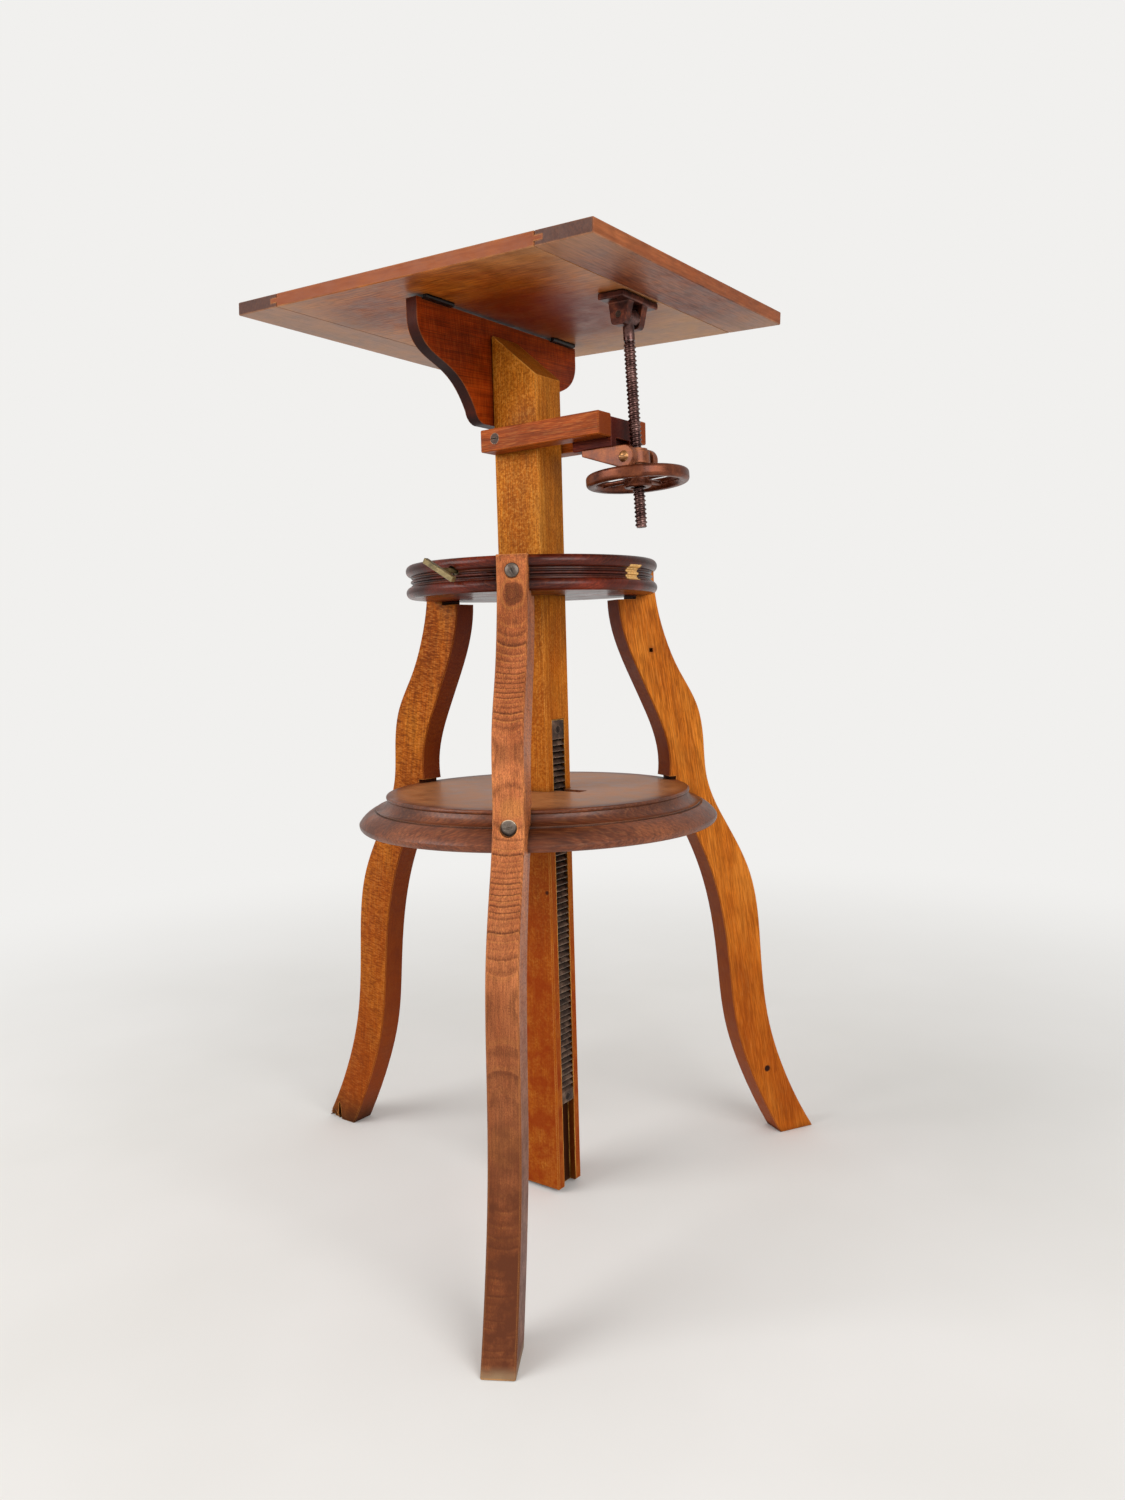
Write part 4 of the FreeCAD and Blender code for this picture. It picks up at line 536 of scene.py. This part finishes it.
def weldedMesh(name):
    # the solid's facets joined into one skin, with flat faces whole again
    mesh = nodes[name].data.copy()
    skin = bmesh.new()
    skin.from_mesh(mesh)
    bmesh.ops.remove_doubles(skin, verts=skin.verts, dist=weld)
    flat = math.radians(shapeLook["flat"])
    bmesh.ops.dissolve_limit(skin, angle_limit=flat, verts=skin.verts, edges=skin.edges)
    skin.to_mesh(mesh)
    skin.free()
    return mesh


def settle(piece):
    # the modifiers' result becomes the mesh
    ready = bpy.data.meshes.new_from_object(piece.evaluated_get(bpy.context.evaluated_depsgraph_get()))
    piece.modifiers.clear()
    piece.data = ready


def easeArrises(name, look):
    # a planed or turned piece: every sharp arris rounded over
    piece = placePiece(name + "_eased", weldedMesh(name), name)
    bevel = piece.modifiers.new("arrises", "BEVEL")
    bevel.width = look["round"] * mm
    bevel.segments = shapeLook["steps"]
    bevel.limit_method = "ANGLE"
    bevel.angle_limit = math.radians(shapeLook["arris"])
    bevel.miter_outer = "MITER_ARC"
    soft = piece.modifiers.new("faces", "WEIGHTED_NORMAL")
    soft.keep_sharp = True
    settle(piece)


def fattenRim(mesh, look):
    # the wheel's rim has a fuller section inwards, one more ring of metal joined in the skin
    hub = Vector(joints["wheel_spin"]["pos_m"])
    down = Vector(joints["wheel_spin"]["axis"])
    side = Vector((0, 1, 0))
    middle = hub + down * look["drop"] * mm
    skin = bmesh.new()
    skin.from_mesh(mesh)
    rows = []
    for i in range(look["around"]):
        turn = i / look["around"] * math.tau
        out = side.cross(down) * math.cos(turn) + side * math.sin(turn)
        row = []
        for j in range(look["round"]):
            bead = j / look["round"] * math.tau
            reach = look["radius"] + look["deep"] * math.cos(bead)
            row.append(skin.verts.new(middle + (out * reach + down * look["tall"] * math.sin(bead)) * mm))
        rows.append(row)
    for row, after in zip(rows, rows[1:] + rows[:1]):
        for j in range(look["round"]):
            k = (j + 1) % look["round"]
            skin.faces.new((row[j], row[k], after[k], after[j]))
    bmesh.ops.recalc_face_normals(skin, faces=skin.faces)
    skin.to_mesh(mesh)
    skin.free()


def castOver(name, look):
    # a casting: inner corners filled and edges rounded, as sand and pattern leave them
    piece = placePiece(name + "_cast", weldedMesh(name), name)
    if "rim" in look:
        fattenRim(piece.data, look["rim"])
    grid = piece.modifiers.new("skin", "REMESH")
    grid.mode = "VOXEL"
    grid.voxel_size = look["grain"] * mm
    soft = piece.modifiers.new("fillets", "SMOOTH")
    soft.factor = 0.5
    soft.iterations = look["rubs"]
    settle(piece)
    piece.data.shade_smooth()


def cutWith(piece, tool, how):
    # one solid cut with another, which is then thrown away
    knife = bpy.data.objects.new("knife", tool)
    bpy.context.scene.collection.objects.link(knife)
    cut = piece.modifiers.new("cut", "BOOLEAN")
    cut.operation = how
    cut.solver = "EXACT"
    cut.object = knife
    settle(piece)
    bpy.data.objects.remove(knife)


def shapePlug(look):
    # the plug was let in square and then turned with the rim, so its face follows the moulding
    mesh = weldedMesh("ring_plug")
    low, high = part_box("ring_plug")
    reach = (Vector((high.x, high.y, 0)) - Vector((axisX, 0, 0))).length
    for point in mesh.vertices:
        away = Vector((point.co.x - axisX, point.co.y, 0))
        if away.length > reach - look["deep"] * mm:
            point.co += away.normalized() * look["proud"] * mm
    piece = placePiece("ring_plug_turned", mesh, "ring_plug")
    # the rim is turned round the axis, so that its own hole for the plug is elsewhere
    profile = weldedMesh("upper_ring")
    turn = Matrix.Rotation(math.radians(look["turn"]), 4, "Z")
    profile.transform(Matrix.Translation((axisX, 0, 0)) @ turn @ Matrix.Translation((-axisX, 0, 0)))
    cutWith(piece, profile, "INTERSECT")


def chipFoot(piece, look):
    # an old break in the toe of the left leg: rough balls bitten out of it
    low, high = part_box("left_leg")
    waves = look["waves"]
    for along, up, size in look["bites"]:
        middle = Vector((low.x + along * mm, low.y, up * mm))
        bite = bmesh.new()
        bmesh.ops.create_icosphere(bite, subdivisions=2, radius=1.0)
        for point in bite.verts:
            x, y, z = point.co
            swell = look["rough"] * math.sin(waves[0] * x + waves[2] * z)
            rough = 1 + swell * math.cos(waves[1] * y + along)
            point.co = middle + Vector((x * size[0], y * size[1], z * size[2])) * rough * mm
        mesh = bpy.data.meshes.new("bite")
        bite.to_mesh(mesh)
        bite.free()
        cutWith(piece, mesh, "DIFFERENCE")


easedPieces = {
    "column": {"round": 1.1}, "upper_ring": {"round": 0.45}, "lower_shelf": {"round": 0.5},
    "front_leg": {"round": 0.7}, "right_leg": {"round": 0.7}, "left_leg": {"round": 0.7},
    "bracket_board": {"round": 1.0}, "front_yoke_bar": {"round": 0.6}, "rear_yoke_bar": {"round": 0.6},
    "yoke_block": {"round": 0.6}, "table_panel": {"round": 0.5}, "left_cleat": {"round": 0.6},
    "right_cleat": {"round": 0.6}, "clamp_bar": {"round": 0.5}, "rack": {"round": 0.3},
}
for name, look in easedPieces.items():
    easeArrises(name, look)
shapePlug({"turn": 22, "deep": 12, "proud": 8})
chipFoot(bpy.data.objects["left_leg_eased"], {
    "bites": ((21, 4, (3.0, 9, 18)), (10, 2, (9, 4, 9)), (4, 0, (5, 7, 5))),
    "rough": 0.25, "waves": (7.1, 5.7, 3.3),
})
print("stage: arrises eased")

castPieces = {  # the grain is the size in mm of what the remesh keeps, and the rubs are rounds of smoothing
    "handwheel": {"grain": 0.7, "rubs": 6, "rim": {
        "drop": 19.5, "radius": 44.9, "deep": 5.5, "tall": 5.9, "around": 96, "round": 20,
    }},
    "clevis_casting": {"grain": 0.55, "rubs": 5}, "table_casting": {"grain": 0.5, "rubs": 5},
    "swivel_block": {"grain": 0.4, "rubs": 3},
}
for name, look in castPieces.items():
    castOver(name, look)
print("stage: castings rounded")


# a head is what lies this near to its leg's direction, and edges stay crisp from so many degrees
headLook = {"near": 0.9, "sharp": 35}


def towards(point):
    # the level direction in which a point lies from the column's axis
    return Vector((point.x - axisX, point.y, 0)).normalized()


def turnHeads(name, look):
    # slotted screws: each head spread and flattened on its seat, with a worn slot set at its own angle
    mesh = nodes[name].data.copy()
    skin = bmesh.new()
    skin.from_mesh(mesh)
    bmesh.ops.remove_doubles(skin, verts=skin.verts, dist=weld)
    tall = look["tall"] * mm
    for out, tilt in zip(legAims, look["tilts"]):
        mine = [v for v in skin.verts if towards(v.co).dot(out) > headLook["near"]]
        top = max(v.co.dot(out) for v in mine)
        head = [v for v in mine if v.co.dot(out) > top - tall - 10 * weld]
        centre = sum((v.co for v in head), Vector()) / len(head)
        base = top - tall - centre.dot(out)
        spin = Matrix.Rotation(math.radians(tilt), 3, out)
        for point in mine:
            away = point.co - centre
            along = out * away.dot(out)
            point.co = centre + along + spin @ (away - along)
        for point in head:
            away = point.co - centre
            along = away.dot(out)
            sunk = base + (along - base) * look["flat"]
            point.co = centre + out * sunk + (away - out * along) * look["spread"]
    skin.to_mesh(mesh)
    skin.free()
    piece = placePiece(name + "_turned", mesh, name)
    piece.data.set_sharp_from_angle(angle=math.radians(headLook["sharp"]))


def cutThread(look):
    # the tilt screw: its eye and neck from the solid, its thread as one helical skin below them
    down = Vector(joints["wheel_spin"]["axis"])
    pin = Vector(joints["screw_lean"]["pos_m"])
    side = Vector((0, 1, 0))
    local = Matrix((side.cross(-down), side, -down)).transposed().to_4x4()
    local.translation = pin
    mesh = weldedMesh("tilt_screw")
    skin = bmesh.new()
    skin.from_mesh(mesh)
    cutAt = pin + down * (look["plain"] - look["into"]) * mm
    stock = [*skin.verts, *skin.edges, *skin.faces]
    bmesh.ops.bisect_plane(skin, geom=stock, plane_co=cutAt, plane_no=down, clear_outer=True)
    bmesh.ops.holes_fill(skin, edges=[edge for edge in skin.edges if edge.is_boundary])
    around, perTurn = look["around"], look["perTurn"]
    length = look["length"] - look["plain"]
    rows = int(length / look["pitch"] * perTurn)
    rings = []
    for row in range(rows + 1):
        depth = row / rows * length
        ends = min(1.0, depth / look["runOut"], (length - depth) / look["point"])
        loop = []
        for i in range(around):
            angle = i / around * math.tau
            phase = (depth / look["pitch"] + i / around) % 1.0
            rise = min(1.0, max(0.0, look["broad"] - abs(phase - 0.5) * look["steep"]))
            radius = look["root"] + (look["crest"] - look["root"]) * rise * max(0.0, ends)
            x, y, z = radius * math.cos(angle), radius * math.sin(angle), -(look["plain"] + depth)
            loop.append(skin.verts.new(local @ Vector((x * mm, y * mm, z * mm))))
        rings.append(loop)
    for upper, lower in zip(rings, rings[1:]):
        for i in range(around):
            j = (i + 1) % around
            skin.faces.new((upper[i], lower[i], lower[j], upper[j]))
    skin.faces.new(rings[0])
    skin.faces.new(rings[-1][::-1])
    bmesh.ops.recalc_face_normals(skin, faces=skin.faces)
    skin.to_mesh(mesh)
    skin.free()
    piece = placePiece("tilt_screw_threaded", mesh, "tilt_screw")
    piece.data.set_sharp_from_angle(angle=math.radians(look["sharp"]))


cutThread({
    "length": 201.6, "plain": 23.0, "into": 0.5, "pitch": 4.2, "crest": 5.98, "root": 4.8,
    "runOut": 2.5, "point": 1.5, "broad": 1.5, "steep": 5.2, "around": 40, "perTurn": 12, "sharp": 40,
})
print("stage: thread cut")

turnHeads("ring_screws", {"tall": 2.6, "flat": 0.75, "spread": 1.08, "tilts": (-35, 20, 70)})
turnHeads("shelf_screws", {"tall": 2.6, "flat": 0.6, "spread": 1.16, "tilts": (40, 100, 15)})
print("stage: screws driven home")


# floor, light and camera

floorLook = {
    "side": 14.0, "drop": 0.5, "rough": 0.85, "wall": "#F1F0EE", "fadeFrom": 0.35, "fadeTo": 1.9,
    "light": "#F2F0ED", "dark": "#ECEAE6",
}
half = floorLook["side"] / 2
floorMesh = bpy.data.meshes.new("floor")
corners = [(-half, -half, 0), (half, -half, 0), (half, half, 0), (-half, half, 0)]
floorMesh.from_pydata(corners, [], [(0, 1, 2, 3)])
floor = bpy.data.objects.new("floor", floorMesh)
floor.location.z = -floorLook["drop"] * mm
bpy.context.scene.collection.objects.link(floor)
floorPaint, tree = newMaterial("pale matt floor paint")
spread = addNode(tree, "TexCoord", out="Object")
worn = addNode(tree, "TexNoise", {"Scale": 3.0, "Detail": 3.0, "Vector": spread})
paint = addNode(tree, "ValToRGB", (worn,), stops=((0.3, floorLook["dark"]), (0.7, floorLook["light"])))
lit = addNode(tree, "BsdfPrincipled", {"Base Color": paint, "Roughness": floorLook["rough"]})
# far from the stand the floor fades into the wall that the camera and mirrors see
away = addNode(tree, "VectorMath", (spread, (axisX, 0, 0)), out="Value", operation="DISTANCE")
fadeRange = (away, floorLook["fadeFrom"], floorLook["fadeTo"], 0.0, 1.0)
fade = addNode(tree, "MapRange", fadeRange, **eased)
path = addNode(tree, "LightPath", out=None)
seenBy = (path.outputs["Is Camera Ray"], path.outputs["Is Glossy Ray"])
seen = addNode(tree, "Math", seenBy, operation="MAXIMUM")
share = addNode(tree, "Math", (fade, seen), operation="MULTIPLY")
far = addNode(tree, "Emission", (floorLook["wall"], 1.0))
blend = addNode(tree, "MixShader", (share, lit, far))
addNode(tree, "OutputMaterial", (blend,), out=None)
floor.data.materials.append(floorPaint)

worldLook = {"glow": "#F4F3F1", "strength": 0.62, "wall": floorLook["wall"]}
world = bpy.data.worlds.new("studio")
bpy.context.scene.world = world
world.use_nodes = True
tree = world.node_tree
tree.nodes.clear()
glow = addNode(tree, "Background", (worldLook["glow"], worldLook["strength"]))
wall = addNode(tree, "Background", (worldLook["wall"], 1.0))
path = addNode(tree, "LightPath", out=None)
seenBy = (path.outputs["Is Camera Ray"], path.outputs["Is Transmission Ray"])
seen = addNode(tree, "Math", seenBy, operation="MAXIMUM")
both = addNode(tree, "MixShader", (seen, glow, wall))
addNode(tree, "OutputWorld", (both,), out=None)

standMiddle = (Vector(cadBounds[0]) + Vector(cadBounds[1])) / 2


def hangLamp(name, look):
    data = bpy.data.lights.new(name, "AREA")
    data.shape = "RECTANGLE"
    data.size, data.size_y = look["size"]
    data.energy = look["watts"]
    lamp = bpy.data.objects.new(name, data)
    lamp.location = look["place"]
    lamp.rotation_euler = (standMiddle - Vector(look["place"])).to_track_quat("-Z", "Y").to_euler()
    bpy.context.scene.collection.objects.link(lamp)


hangLamp("window", {"place": (-1.5, -2.6, 1.9), "size": (2.2, 2.0), "watts": 55})
hangLamp("fill", {"place": (2.8, -1.1, 1.6), "size": (2.0, 1.8), "watts": 48})

cameraLook = {
    "place": (0.7972, -0.9413, 0.5866), "yaw": 36.466, "dip": 5.228, "roll": 1.544,
    "lens": 26.82, "sensor": 36,
}
yaw, dip, roll = (math.radians(cameraLook[word]) for word in ("yaw", "dip", "roll"))
ahead = Vector((-math.sin(yaw) * math.cos(dip), math.cos(yaw) * math.cos(dip), -math.sin(dip)))
level = Vector((math.cos(yaw), math.sin(yaw), 0))
down = ahead.cross(level)
across = math.cos(roll) * level + math.sin(roll) * down
under = -math.sin(roll) * level + math.cos(roll) * down
cameraData = bpy.data.cameras.new("camera")
cameraData.sensor_fit = "VERTICAL"
cameraData.sensor_height = cameraLook["sensor"]
cameraData.lens = cameraLook["lens"]
camera = bpy.data.objects.new("camera", cameraData)
aim = Matrix((across, -under, -ahead)).transposed().to_4x4()
camera.matrix_world = Matrix.Translation(cameraLook["place"]) @ aim
bpy.context.scene.collection.objects.link(camera)
bpy.context.scene.camera = camera
bpy.context.scene.view_settings.view_transform = "Standard"
print("stage: floor, light and camera ready")
